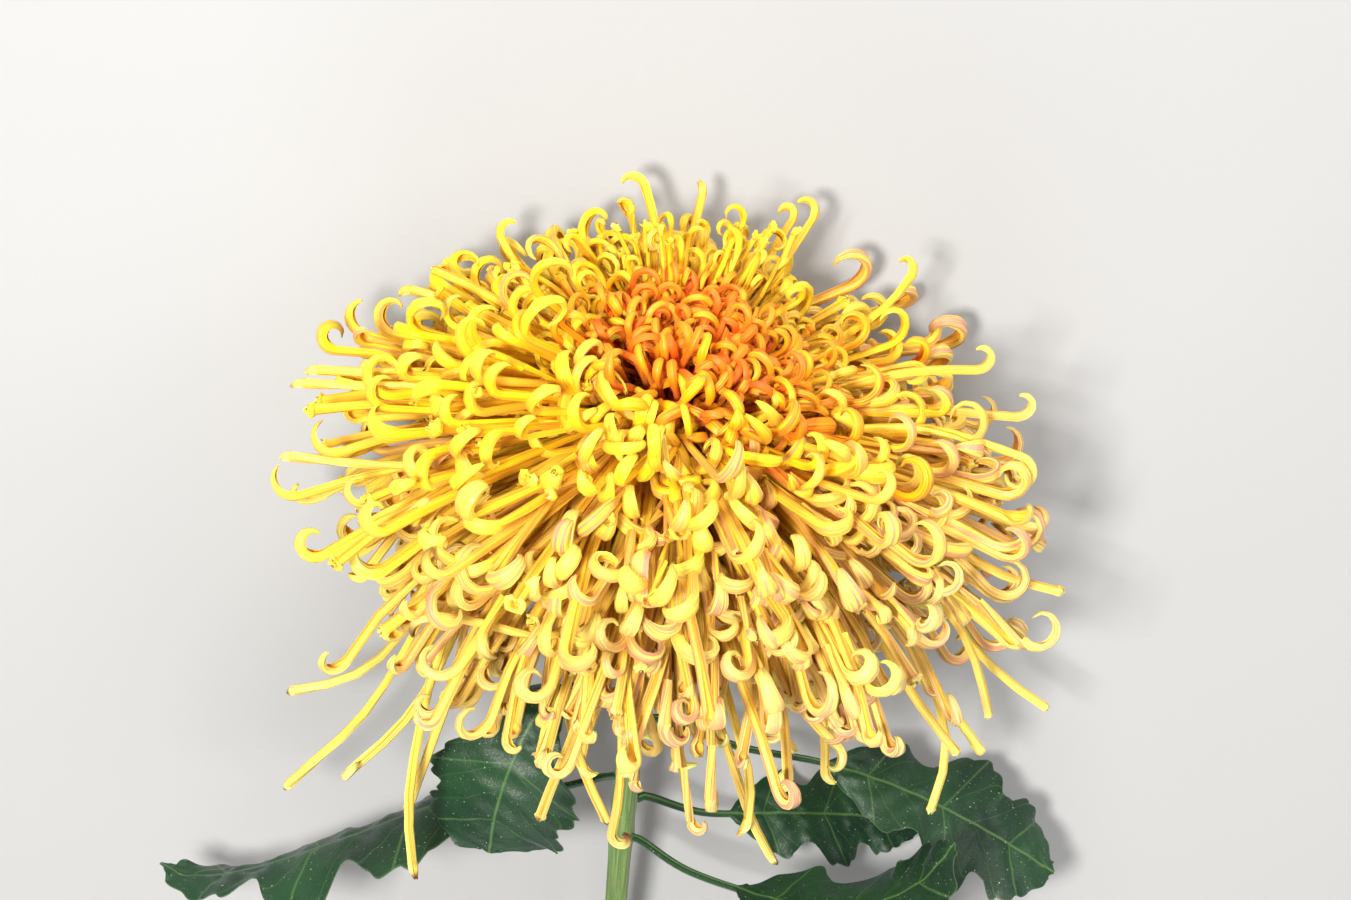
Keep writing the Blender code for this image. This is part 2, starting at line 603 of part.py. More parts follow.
def make_cup(collection):
    """The green cup of bracts under the bloom, a turned shell whose outside is scalloped like scales."""
    steps = 2 * BRACTS
    hollow = CORE_RADIUS + GAP + 0.0002
    inner = [(hollow * math.sin(a), -hollow * math.cos(a)) for a in np.radians((0, 14, 27, 40))]
    outer = [(STEM_RADIUS * 1.15, -CUP_HEIGHT - 0.0075), (STEM_RADIUS * 1.7, -CUP_HEIGHT - 0.0045),
             (CUP_RADIUS * 0.80, -CUP_HEIGHT + 0.0002), (CUP_RADIUS * 1.02, -CUP_HEIGHT + 0.0048)]
    profile = [*inner, *reversed(outer), (0, outer[0][1])]
    made = turned_mesh("cup", profile, steps)
    for vertex in made.vertices:
        radius = math.hypot(vertex.co.x, vertex.co.y)
        turn = math.atan2(vertex.co.y, vertex.co.x)
        ridge = math.cos(turn * BRACTS)
        if radius > STEM_RADIUS * 1.5 and vertex.co.z > -CUP_HEIGHT - 0.005:
            vertex.co.z += 0.0006 * ridge * (radius > CUP_RADIUS * 0.7)
            vertex.co.x *= 1 + 0.03 * ridge
            vertex.co.y *= 1 + 0.03 * ridge
    place_upright(made, BLOOM_LEAN)
    new_object("involucre", made, collection, material("stem_green"))


def make_stem(collection):
    """The stem: a tube that swells a little where each leaf joins it, with a plain cut end."""
    depth = np.linspace(CUP_HEIGHT + 0.0078, STEM_LENGTH, 22)
    line = laid_place(stem_line(depth))
    curve = bpy.data.curves.new("stem", "CURVE")
    curve.dimensions = "3D"
    curve.bevel_depth = STEM_RADIUS
    curve.bevel_resolution = 2
    curve.use_fill_caps = True
    spline = curve.splines.new("POLY")
    spline.points.add(len(line) - 1)
    for point, place in zip(spline.points, line):
        point.co = (*place, 1)
    drawn = bpy.data.objects.new("stem_curve", curve)
    collection.objects.link(drawn)
    bpy.context.view_layer.update()
    mesh = bpy.data.meshes.new_from_object(drawn.evaluated_get(bpy.context.evaluated_depsgraph_get()))
    bpy.data.objects.remove(drawn)
    shape = bmesh.new()
    shape.from_mesh(mesh)
    bmesh.ops.remove_doubles(shape, verts=shape.verts, dist=0.00005)
    bmesh.ops.recalc_face_normals(shape, faces=shape.faces)
    shape.to_mesh(mesh)
    shape.free()
    new_object("stem", mesh, collection, material("stem_green"))


def make_leaf(leaf, collection, finish):
    """One leaf: its lobed middle surface, given a thin blade's thickness and a thicker stalk's."""
    name = leaf[0]
    grid, thick = leaf_grid(leaf, LEAF_STATIONS, 5)
    rows, columns = grid.shape[:2]
    faces = []
    for r in range(rows - 1):
        for c in range(columns - 1):
            a = r * columns + c
            b, d, e = a + 1, a + columns, a + columns + 1
            faces += [(a, d, b), (b, d, e)] if c < columns // 2 else [(a, d, e), (a, e, b)]
    mesh = bpy.data.meshes.new(name)
    mesh.from_pydata(grid.reshape(-1, 3).tolist(), [], faces)
    made = new_object(name, mesh, collection, finish)
    group = made.vertex_groups.new(name="stalk")
    for r in range(rows):
        group.add([r * columns + c for c in range(columns)], float(thick[r]), "REPLACE")
    wall = made.modifiers.new("wall", "SOLIDIFY")
    wall.thickness = PETIOLE_THICKNESS
    wall.offset = 0
    wall.vertex_group = group.name
    return made


def main():
    for old in list(bpy.data.objects):
        bpy.data.objects.remove(old)
    flower = bpy.data.collections.new("spider_chrysanthemum")
    bpy.context.scene.collection.children.link(flower)
    obstacles = obstacle_points()
    make_bloom(flower, obstacles)
    make_cup(flower)
    make_stem(flower)
    leaf_green = material("leaf_green")
    for leaf in LEAVES:
        make_leaf(leaf, flower, leaf_green)


main()
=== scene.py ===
import json
import math

import bpy
import numpy as np
from mathutils import Matrix, Vector

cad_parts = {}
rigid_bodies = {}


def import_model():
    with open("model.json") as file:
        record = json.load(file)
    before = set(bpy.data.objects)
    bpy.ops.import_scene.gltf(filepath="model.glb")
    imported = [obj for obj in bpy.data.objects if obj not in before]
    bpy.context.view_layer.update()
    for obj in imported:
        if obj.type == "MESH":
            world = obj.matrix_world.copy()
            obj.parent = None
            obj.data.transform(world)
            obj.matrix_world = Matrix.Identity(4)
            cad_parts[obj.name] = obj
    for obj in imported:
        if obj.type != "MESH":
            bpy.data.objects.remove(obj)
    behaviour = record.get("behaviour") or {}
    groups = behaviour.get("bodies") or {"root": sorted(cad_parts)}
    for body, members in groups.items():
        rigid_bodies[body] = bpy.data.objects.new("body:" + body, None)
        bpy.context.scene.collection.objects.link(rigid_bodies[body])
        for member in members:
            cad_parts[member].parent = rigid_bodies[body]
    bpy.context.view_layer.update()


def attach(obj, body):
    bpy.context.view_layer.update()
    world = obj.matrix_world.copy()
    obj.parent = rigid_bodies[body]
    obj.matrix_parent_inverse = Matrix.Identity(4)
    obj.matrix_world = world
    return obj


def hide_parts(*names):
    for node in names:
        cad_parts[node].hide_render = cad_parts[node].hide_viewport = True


for old in list(bpy.data.objects):
    bpy.data.objects.remove(old)
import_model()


# How the flower lies.
# It is worked out as it grows: x to the viewer's right, y away from the viewer, z up the plant, from the
# receptacle's middle. Then it is tipped over on its back, so the side that faced the viewer looks up.
MM = 0.001
LIE_SLOPE = math.radians(14)
VIEW_HEIGHT = math.radians(27)
VIEW_DISTANCE = 1.05
RECEPTACLE = np.array([0.017, 0.0925, 0.068])


def unit(v):
    """Each vector divided by its length."""
    return v / np.linalg.norm(v, axis=-1, keepdims=True)


def laid(v):
    """A direction of the growing flower, turned about x until the stem slopes by LIE_SLOPE."""
    x, y, z = np.moveaxis(np.asarray(v, float), -1, 0)
    s, c = math.sin(LIE_SLOPE), math.cos(LIE_SLOPE)
    return np.stack([x, y * s + z * c, z * s - y * c], axis=-1)


def seen(points):
    """Places of the growing flower from (right, up, in front of the stem) as seen from the front, in mm.

    The point in front is found on the line of sight, whose height is VIEW_HEIGHT, and its distance across
    that line is scaled by how much nearer it is than the receptacle."""
    right, up, front = np.moveaxis(np.asarray(points, float) * MM, -1, 0)
    s, c = math.sin(VIEW_HEIGHT), math.cos(VIEW_HEIGHT)
    z = (up + front * s) / c
    nearer = 1 + (-front * c - z * s) / VIEW_DISTANCE
    return np.stack([right * nearer, -front, (up * nearer + front * s) / c], axis=-1)


# The surface, the light and the camera.
# A plain pale table top under soft studio light: a key lamp to the left of the camera, and three broad,
# weaker ones from the right, past the crown and past the cut end. The camera looks down as the viewer did.
# The frame spans FRAME_WIDTH at the receptacle, and its middle lies a little right of it and below.
SENSOR = 36
FRAME_WIDTH = 0.4053
FRAME_RIGHT, FRAME_BELOW = 0.00315, 0.003
TABLE_HALF, TABLE_DROP = 3, 0.0002
tilt = LIE_SLOPE - VIEW_HEIGHT
ahead = Vector((0, math.sin(tilt), -math.cos(tilt)))
upward = Vector((0, math.cos(tilt), math.sin(tilt)))


def placed(name, data):
    """A new object in the scene that shows some data, at the origin."""
    made = bpy.data.objects.new(name, data)
    bpy.context.scene.collection.objects.link(made)
    return made


camera = placed("camera", bpy.data.cameras.new("camera"))
camera.data.sensor_width = SENSOR
camera.data.lens = SENSOR * VIEW_DISTANCE / FRAME_WIDTH
camera.data.clip_start = 0.01
eye = Vector(RECEPTACLE) - ahead * VIEW_DISTANCE + Vector((FRAME_RIGHT, 0, 0)) - upward * FRAME_BELOW
turn = Matrix([[1, 0, 0], [0, upward.y, upward.z], [0, -ahead.y, -ahead.z]]).transposed()
camera.matrix_world = Matrix.Translation(eye) @ turn.to_4x4()
bpy.context.scene.camera = camera

for name, spot, size, watts, colour in (
        ("key", (-0.34, 0.24, 1.38), 0.24, 25.5, (1.0, 0.97, 0.92)),
        ("fill", (0.95, 0.45, 0.90), 0.8, 6.5, (1.0, 0.98, 0.96)),
        ("back", (0.05, 1.10, 0.75), 0.6, 11, (1.0, 0.98, 0.95)),
        ("front", (-0.1, -1.1, 0.9), 0.8, 6.5, (1.0, 0.98, 0.96))):
    light = bpy.data.lights.new(name, "AREA")
    light.size, light.energy, light.color = size, watts, colour
    lamp = placed(name, light)
    lamp.location = spot
    lamp.rotation_euler = (Vector(RECEPTACLE) - Vector(spot)).to_track_quat("-Z", "Y").to_euler()
world = bpy.data.worlds.new("studio")
world.use_nodes = True
sky = world.node_tree.nodes["Background"].inputs
sky["Color"].default_value = (0.87, 0.86, 0.85, 1)
sky["Strength"].default_value = 0.39
bpy.context.scene.world = world
bpy.context.scene.view_settings.view_transform = "Standard"


def put(tree, kind, inputs=(), **settings):
    """Adds a shader node, sets its options, and sets or links each of its inputs by name or number."""
    made = tree.nodes.new("ShaderNode" + kind)
    for name, value in settings.items():
        setattr(made, name, value)
    for name, value in dict(inputs).items():
        if isinstance(value, bpy.types.NodeSocket):
            tree.links.new(value, made.inputs[name])
        else:
            made.inputs[name].default_value = value
    return made


def worked(tree, operation, *values, **settings):
    """The number that a sum on one, two or three numbers gives."""
    return put(tree, "Math", enumerate(values), operation=operation, **settings).outputs[0]


def ranged(tree, value, start, end, low=0.0, high=1.0, **settings):
    """A number moved in proportion from the range start to end into the range low to high, and kept in it."""
    bounds = {"Value": value, "From Min": start, "From Max": end, "To Min": low, "To Max": high}
    return put(tree, "MapRange", bounds, **settings).outputs[0]


def mixed(tree, share, first, second, blend="MIX"):
    """The first colour turned into the second by a share, or multiplied by it."""
    first, second = ((*colour, 1) if isinstance(colour, tuple) else colour for colour in (first, second))
    return put(tree, "Mix", {0: share, 6: first, 7: second}, data_type="RGBA", blend_type=blend).outputs[2]


def noise(tree, place, scale, detail, roughness=0.5):
    """A cloudy pattern of numbers around one half."""
    settings = {"Vector": place, "Scale": scale, "Detail": detail, "Roughness": roughness}
    return put(tree, "TexNoise", settings).outputs[0]


def fresh(name):
    """A new material and its empty tree."""
    made = bpy.data.materials.new(name)
    made.use_nodes = True
    made.node_tree.nodes.clear()
    return made, made.node_tree


def close(tree, colour, rough, height, depth, strength, gloss=(), invert=False):
    """Ends a material with its colour and roughness, a bump `depth` metres high, and its constant gloss."""
    bump = put(tree, "Bump", {"Height": height, "Distance": depth, "Strength": strength}, invert=invert)
    looks = {"Base Color": colour, "Roughness": rough, "Normal": bump.outputs["Normal"], **dict(gloss)}
    put(tree, "OutputMaterial", {"Surface": put(tree, "BsdfPrincipled", looks).outputs[0]})


table, tree = fresh("table_top")
where = put(tree, "TexCoord").outputs["Object"]
tint = mixed(tree, noise(tree, where, 3.0, 3.0), (0.345, 0.35, 0.357), (0.375, 0.38, 0.385))
close(tree, tint, 0.6, noise(tree, where, 900.0, 2.0), 0.0001, 0.3)
steps = np.linspace(-TABLE_HALF, TABLE_HALF, 7)
sheet = np.stack([*np.meshgrid(steps, steps), np.full((7, 7), -TABLE_DROP)], axis=-1).reshape(-1, 3)
corner = np.arange(49).reshape(7, 7)
squares = np.stack([corner[:-1, :-1], corner[:-1, 1:], corner[1:, 1:], corner[1:, :-1]], axis=-1)
ground = bpy.data.meshes.new("table")
ground.from_pydata(sheet.tolist(), [], squares.reshape(-1, 4).tolist())
ground.materials.append(table)
table_top = placed("table", ground)


# The stem.
# A stiff green stalk, cut square with a knife at its lower end. It is ribbed and finely haired, swells where
# a leaf leaves it, and shows a white pith inside a green rind at the cut.
STEM_RADIUS = 3.72 * MM
STEM_TOP = 0.0262
STEM_LENGTH = 0.2655
STEM_RINGS = 150
# The rings of the cut: their share of the radius, and how deep they lie in the stem, in mm.
CUT_INSET = (0.96, 0.80, 0.76, 0.40, 0.06)
CUT_SUNK = (-0.15, -0.10, 0.25, 0.45, 0.50)
SHARP_EDGE = math.radians(55)
BLOOM_LEAN = math.radians(7)
LEAF_DEPTHS = np.array([118, 78, 98, 140, 128]) * MM


def stem_line(depth):
    """Points at a distance below the receptacle: leaned to the left, then bent back with its square."""
    depth = np.asarray(depth, float)
    side = -math.tan(BLOOM_LEAN) * depth + 0.16 * depth**2
    return np.stack([side, np.zeros_like(depth), -depth], axis=-1)


def skin(name, rows, finish, marks=()):
    """One mesh from closed rings: shapes x rings x points x 3.

    Each four neighbouring points make a face, each ring closes on itself, and the first and last ring of each
    shape are capped. Rings run right-handed about the way they follow, so the faces look outwards. `marks`
    are numbers kept at each point, by name."""
    shapes, rings, points, _ = rows.shape
    start = ((np.arange(shapes) * rings)[:, None, None] + np.arange(rings - 1)[:, None]) * points
    here = np.arange(points)
    after = np.roll(here, -1)
    quads = np.stack([start + here, start + after, start + points + after, start + points + here], axis=-1)
    first = (np.arange(shapes) * rings * points)[:, None]
    caps = np.concatenate([first + here[::-1], first + (rings - 1) * points + here])
    corners = np.concatenate([quads.ravel(), caps.ravel()])
    sizes = np.concatenate([np.full(quads.size // 4, 4), np.full(len(caps), points)])
    mesh = bpy.data.meshes.new(name)
    mesh.vertices.add(rows.size // 3)
    mesh.vertices.foreach_set("co", rows.astype(np.float32).ravel())
    mesh.loops.add(len(corners))
    mesh.loops.foreach_set("vertex_index", corners.astype(np.int32))
    mesh.polygons.add(len(sizes))
    mesh.polygons.foreach_set("loop_start", (np.cumsum(sizes) - sizes).astype(np.int32))
    mesh.polygons.foreach_set("loop_total", sizes.astype(np.int32))
    mesh.update(calc_edges=True)
    mesh.shade_smooth()
    mesh.set_sharp_from_angle(angle=SHARP_EDGE)
    for mark, values in marks:
        layer = mesh.attributes.new(mark, "FLOAT", "POINT")
        layer.data.foreach_set("value", np.broadcast_to(values, rows.shape[:3]).astype(np.float32).ravel())
    mesh.materials.append(finish)
    piece = placed(name, mesh)
    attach(piece, "root")
    return piece


def stem_rings(angle, depth, inset):
    """The rings of the stalk, from the cup down to the cut.

    The radius is that of a rod with six ribs that wind a third of a turn on the way, twelve weaker ones, a
    slow wobble, and bell-shaped swellings at the leaves and under the cup. The last rings are the cut: they
    step inwards by `inset`, over the rind's rim and down into the pith."""
    sunk = np.concatenate([np.zeros(STEM_RINGS), CUT_SUNK]) * MM
    line = laid(stem_line(depth))
    along = unit(np.gradient(line[:STEM_RINGS], axis=0))
    along = np.concatenate([along, np.repeat(along[-1:], len(CUT_SUNK), axis=0)])
    line = line + RECEPTACLE - along * sunk[:, None]
    across = unit(np.cross(along, [0.0, 0.0, 1.0]))
    over = np.cross(across, along)
    deep = depth[:, None]
    twist = angle + 2.2 * deep / STEM_LENGTH
    ribs = 0.035 * np.cos(6 * twist) + 0.014 * np.cos(12 * twist + 1) + 0.01 * np.sin(2 * twist + 40 * deep)
    swell = np.exp(-(((deep - LEAF_DEPTHS) / 0.005) ** 2)).sum(axis=1) * 0.13
    crown = 0.22 * np.exp(-((depth - STEM_TOP) / 0.006) ** 2)
    radius = 0.94 + ribs + (swell + crown)[:, None] + 0.02 * deep / STEM_LENGTH
    radius = STEM_RADIUS * radius * inset[:, None]
    right, up = (radius * np.cos(angle))[..., None], (radius * np.sin(angle))[..., None]
    rings = line[:, None] + across[:, None] * right - over[:, None] * up
    rings[..., 2] = np.maximum(rings[..., 2], 0)
    return rings


def new_group(name, inputs, outputs):
    """A new node group of numbers: its tree, the sockets of what it is given, and its result node."""
    group = bpy.data.node_groups.new(name, "ShaderNodeTree")
    for label, value in inputs.items():
        group.interface.new_socket(label, in_out="INPUT", socket_type="NodeSocketFloat").default_value = value
    for label in outputs:
        group.interface.new_socket(label, in_out="OUTPUT", socket_type="NodeSocketFloat")
    return group, group.nodes.new("NodeGroupInput").outputs, group.nodes.new("NodeGroupOutput")


def streaks_group():
    """Fine lines that run along a stalk or petal: noise whose coordinates are stretched along it."""
    usual = {"Around": 0.0, "Along": 0.0, "Seed": 0.0, "Fineness": 9.0, "Length": 0.06}
    group, given, result = new_group("streaks", usual, ["Mask"])
    wide = worked(group, "MULTIPLY", given["Around"], given["Fineness"])
    long = worked(group, "MULTIPLY", given["Along"], given["Length"])
    apart = worked(group, "MULTIPLY", given["Seed"], 37.0)
    point = put(group, "CombineXYZ", {"X": wide, "Y": long, "Z": apart}).outputs[0]
    clear = ranged(group, noise(group, point, 1.0, 2.5, 0.6), 0.42, 0.60)
    group.links.new(clear, result.inputs["Mask"])
    return group


def mottle_group():
    """Soft blotches and small specks, from two sizes of noise on the piece's own coordinates."""
    usual = {"Blotch Scale": 60.0, "Speck Scale": 900.0}
    group, given, result = new_group("mottle", usual, ["Blotches", "Specks", "Grain"])
    where = put(group, "TexCoord").outputs["Object"]
    soft = noise(group, where, given["Blotch Scale"], 3.0)
    fine = noise(group, where, given["Speck Scale"], 2.0)
    group.links.new(ranged(group, soft, 0.35, 0.65), result.inputs["Blotches"])
    group.links.new(ranged(group, fine, 0.70, 0.76), result.inputs["Specks"])
    group.links.new(fine, result.inputs["Grain"])
    return group


def use(tree, group, **given):
    """The outputs of a node group, placed in a tree with its own values."""
    inputs = {name.replace("_", " "): value for name, value in given.items()}
    return put(tree, "Group", inputs, node_tree=group).outputs


def kept(tree, *names):
    """The numbers kept at a mesh's points under these names."""
    return [put(tree, "Attribute", attribute_name=name).outputs["Fac"] for name in names]


def ramped(tree, value, stops):
    """A colour read off a ramp with a colour at each of its stops."""
    ramp = put(tree, "ValToRGB", {"Fac": value})
    elements = ramp.color_ramp.elements
    while len(elements) < len(stops):
        elements.new(0.5)
    for element, (at, colour) in zip(elements, stops):
        element.position = at
        element.color = (*colour, 1)
    return ramp.outputs[0]


streaks = streaks_group()
mottle = mottle_group()
stalk, tree = fresh("stalk")
around, along, cut = kept(tree, "around", "along", "cut")
lines = use(tree, streaks, Around=around, Along=along, Fineness=16.0, Length=0.05)["Mask"]
spots = use(tree, mottle, Blotch_Scale=90.0, Speck_Scale=1500.0)
green = mixed(tree, lines, (0.075, 0.16, 0.035), (0.17, 0.30, 0.075))
shaded = mixed(tree, worked(tree, "MULTIPLY", spots["Blotches"], 0.35), green, (0.13, 0.12, 0.045))
haired = mixed(tree, spots["Specks"], shaded, (0.42, 0.50, 0.33))
pith = ramped(tree, cut, ((0.10, (0.12, 0.22, 0.05)), (0.55, (0.62, 0.66, 0.42))))
whole = mixed(tree, worked(tree, "GREATER_THAN", cut, 0.02), haired, pith)
relief = worked(tree, "ADD", lines, spots["Grain"])
close(tree, whole, ranged(tree, spots["Grain"], 0, 1, 0.42, 0.66), relief, 0.00012, 0.7,
      {"Sheen Weight": 0.25, "Sheen Roughness": 0.4})

angle = np.linspace(0, 2 * np.pi, 40, endpoint=False)
depth = np.concatenate([np.linspace(STEM_TOP, STEM_LENGTH, STEM_RINGS), np.full(len(CUT_INSET), STEM_LENGTH)])
inset = np.concatenate([np.ones(STEM_RINGS), CUT_INSET])
marks = ("around", angle / np.pi), ("along", (depth / MM)[:, None]), ("cut", (1 - inset)[:, None])
stem = skin("stem_stalk", stem_rings(angle, depth, inset)[None], stalk, marks)
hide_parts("stem")


# The leaves.
# Five dark, lobed and toothed leaves, each on its own grooved stalk that springs from the stem. The blade is
# thin and slightly quilted between sunken veins, paler and ribbed underneath, and its margin waves.
# Each row: name; how far below the receptacle it springs (m); its midrib as seen (right, up, in front, mm);
# the way its face looks (right, up, near); half its width (mm); the share that is stalk; the power that
# moves its widest place; how much its sides arch down; how high its margin waves (m); how deep its bays are.
LEAVES = (
    ("leaf_left", 0.118,
     [(-36, -105, 6), (-67, -109, 12), (-95, -119, 14), (-122, -128, 13), (-142, -131, 10), (-152, -127, 6)],
     (0.05, 0.95, 0.30), 25, 0.30, 0.62, 0.45, 0.0022, 0.85),
    ("leaf_front", 0.078,
     [(-24, -72, 16), (-38, -82, 26), (-46, -97, 32), (-51, -112, 33), (-53, -124, 29)],
     (-0.05, 0.20, 1.0), 25, 0.24, 1.35, 0.25, 0.0020, 0.40),
    ("leaf_right", 0.098,
     [(22, -92, -4), (48, -97, -2), (72, -105, 0), (96, -117, 2), (117, -130, 2)],
     (0.10, 0.50, 0.85), 24, 0.42, 1.05, 0.20, 0.0022, 0.80),
    ("leaf_low", 0.140,
     [(8, -130, 16), (34, -138, 30), (58, -140, 36), (76, -133, 38), (87, -121, 36)],
     (-0.10, 0.80, 0.60), 24, 0.34, 0.90, 0.30, 0.0024, 0.80),
    ("leaf_back", 0.128,
     [(12, -112, -8), (36, -112, -15), (60, -113, -21), (77, -117, -24)],
     (0.05, 0.35, 0.95), 17, 0.34, 0.80, 0.20, 0.0016, 0.80),
)
# Where the veins leave the midrib, as shares of the blade, and the blade length that their widths are for.
SIDE_VEINS = (0.17, 0.48, 0.78)
SMALL_VEINS = (0.02, 0.20, 0.33, 0.50, 0.63)
VEIN_LENGTH = 70 * MM
# The half width from which a leaf waves, and the place of the one brown spot as seen.
BLADE = 4 * MM
BROWN_SPOT = (-112, -123, 15)


def smooth_curve(points, shares):
    """The points at shares of the length of a smooth curve: cubic spans that pass through each point along
    the line between its neighbours, then measured and read off evenly."""
    p = np.asarray(points, float)
    p = np.concatenate([[2 * p[0] - p[1]], p, [2 * p[-1] - p[-2]]])
    t = np.linspace(0, 1, 16, endpoint=False)[:, None]
    a, b, c, d = (p[k:len(p) - 3 + k, None] for k in range(4))
    spans = 0.5 * (2 * b + (c - a) * t + (2 * a - 5 * b + 4 * c - d) * t**2 + (3 * b - a - 3 * c + d) * t**3)
    fine = np.concatenate([spans.reshape(-1, 3), [p[-2]]])
    along = np.concatenate([[0], np.cumsum(np.linalg.norm(np.diff(fine, axis=0), axis=1))])
    at = np.asarray(shares) * along[-1]
    return np.stack([np.interp(at, along, fine[:, k]) for k in range(3)], axis=1)


def leaf_middle(leaf, place, v):
    """The middle surface of a leaf at shares of its length and of its half width (-1 to 1).

    The midrib is a smooth curve from the stem's skin. The blade reaches to each side of it by its half width,
    an oval cut by two bays and by teeth, and is swept forwards in proportion, so the lobes point to the tip.
    Its sides arch down with the square of the distance, and its margin waves with the sine of the length."""
    _, depth, points, look, half, begin, peak, arch, wave, lobing = leaf
    joint = stem_line(depth)
    outer = seen(points)
    across = outer[0] - joint
    across[2] = 0
    first, second = (joint + unit(across) * (0.0041 + d) for d in (0, 4 * MM))
    line = laid(smooth_curve([first, second, *outer], place)) + RECEPTACLE
    along = unit(np.gradient(line, axis=0))
    right, up, near = look
    s, c = math.sin(VIEW_HEIGHT), math.cos(VIEW_HEIGHT)
    face = laid(np.array([right, up * s - near * c, up * c + near * s]))
    face = unit(face - along * (along @ face)[:, None])
    side = np.cross(along, face)
    blade = (place - begin) / (1 - begin)
    share = np.clip(blade, 0, 1)
    near_bay, far_bay = (np.exp(-(((share - at) / size) ** 2)) for at, size in ((0.34, 0.065), (0.64, 0.060)))
    bays = lobing * (0.55 * near_bay + 0.50 * far_bay)
    width = half * MM * np.sin(np.pi * share**peak) ** 0.85 * (1 - bays) * (blade > 0)
    tooth = (share * 13 + 0.35 * np.sin(9 * share) + 0.3) % 1
    width = width * (1 + 0.09 * (np.sin(np.pi * tooth**1.5) - 0.6) * np.clip(blade * 6, 0, 1))
    width = np.maximum(width, 1.4 * MM * (1 - 0.6 * place))[:, None, None]
    v = v[None, :, None]
    sweep = (0.42 * share**0.3 * (blade < 0.97))[:, None, None]
    ripple = wave * np.sin(place * 21 + 1.1)[:, None, None] * np.abs(v) ** 2 * np.sign(v + 0.2)
    ripple = ripple * (width > BLADE)
    drop = arch * (width * np.abs(v)) ** 2 / (half * MM)
    middle = line[:, None] + side[:, None] * (width * v) + along[:, None] * (np.abs(width * v) * sweep)
    return middle + face[:, None] * (ripple - drop), face[:, None], width[..., 0], blade[:, None]


def make_leaf(leaf, finish):
    """A leaf's two faces, joined at the margin.

    The stalk is an ellipse with a groove on top. On the blade the upper face sinks along the midrib and the
    side veins by bell curves and rises between them, and the lower face stands out along the same veins."""
    begin = leaf[5]
    place = np.concatenate([np.linspace(0, begin, 14)[:-1], np.linspace(begin, 1, 100)])
    v = np.sin(np.linspace(-1, 1, 33) * np.pi / 2 * 0.92) / math.sin(np.pi / 2 * 0.92)
    middle, face, width, blade = leaf_middle(leaf, place, v)
    off = np.abs(v)[None]
    mid = np.exp(-((width * v / (1.1 * MM)) ** 2))
    sides = sum(np.exp(-(((blade - at - 0.03 * off) * VEIN_LENGTH / (1.2 * MM * (1.25 - 0.6 * off))) ** 2))
                for at in SIDE_VEINS)
    twigs = sum(np.exp(-(((blade - at - 0.13 * off + 0.02) * VEIN_LENGTH / (0.9 * MM)) ** 2))
                for at in SMALL_VEINS)
    twigs = twigs * np.clip(off * 3, 0, 1) * np.clip(3.2 - 3.2 * off, 0, 1)
    veins = np.clip(mid + 0.6 * sides * np.clip(1.1 - off, 0, 1) ** 0.5 + 0.25 * twigs, 0, 1)
    on = np.clip(blade * 9, 0, 1)
    quilt = 0.8 * MM * np.sin(blade * 52 + 5 * off) * np.sin(off * 7) * np.clip(1 - off, 0, 1)
    ruffle = 0.9 * MM * np.sin(blade * 47 + 2.5 * np.sign(v)) * off**5
    middle = middle + face * ((quilt + ruffle) * on * (width > BLADE))[..., None]
    round_ = np.sqrt(np.clip(1 - v**2, 0, 1))[None]
    stalk_up = 1.15 * MM * round_ - 0.55 * MM * np.exp(-((v[None] / 0.35) ** 2))
    stalk_low = 1.25 * MM * round_
    upper = (1 - on) * stalk_up + on * (0.17 * MM - 0.45 * MM * veins + 0.25 * MM * mid)
    raised = 1.05 * mid * (1 - 0.75 * blade) + 0.45 * sides * (1 - off)
    lower = (1 - on) * stalk_low + on * (0.17 * MM + raised * MM)
    upper = np.maximum(upper, -0.6 * lower)
    top = middle + face * upper[..., None]
    bottom = middle - face * lower[..., None]
    rows = np.concatenate([top, bottom[:, ::-1]], axis=1)
    rows[..., 2] = np.maximum(rows[..., 2], 0.2 * MM)

    def both(values):
        """The same number on the upper and the lower face."""
        values = np.broadcast_to(values, top.shape[:2])
        return np.concatenate([values, values[:, ::-1]], axis=1)[None]

    under = np.concatenate([np.zeros(len(v)), np.ones(len(v))])
    marks = (("across", both(width * v / MM)), ("share", both(blade)), ("edge", both(off)), ("under", under))
    piece = skin(leaf[0] + "_blade", rows[None], finish, marks)
    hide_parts(leaf[0])


def vein_group():
    """A line that fades over its half width: one minus the distance over the half width, clamped."""
    usual = {"Share": 0.0, "Edge": 0.0, "At": 0.0, "Slant": 0.03, "Half Width": 0.008}
    group, given, result = new_group("vein", usual, ["Mask"])
    lean = worked(group, "MULTIPLY_ADD", given["Edge"], given["Slant"], given["At"])
    apart = worked(group, "ABSOLUTE", worked(group, "SUBTRACT", given["Share"], lean))
    part = worked(group, "DIVIDE", apart, given["Half Width"])
    group.links.new(worked(group, "SUBTRACT", 1.0, part, use_clamp=True), result.inputs["Mask"])
    return group


vein = vein_group()


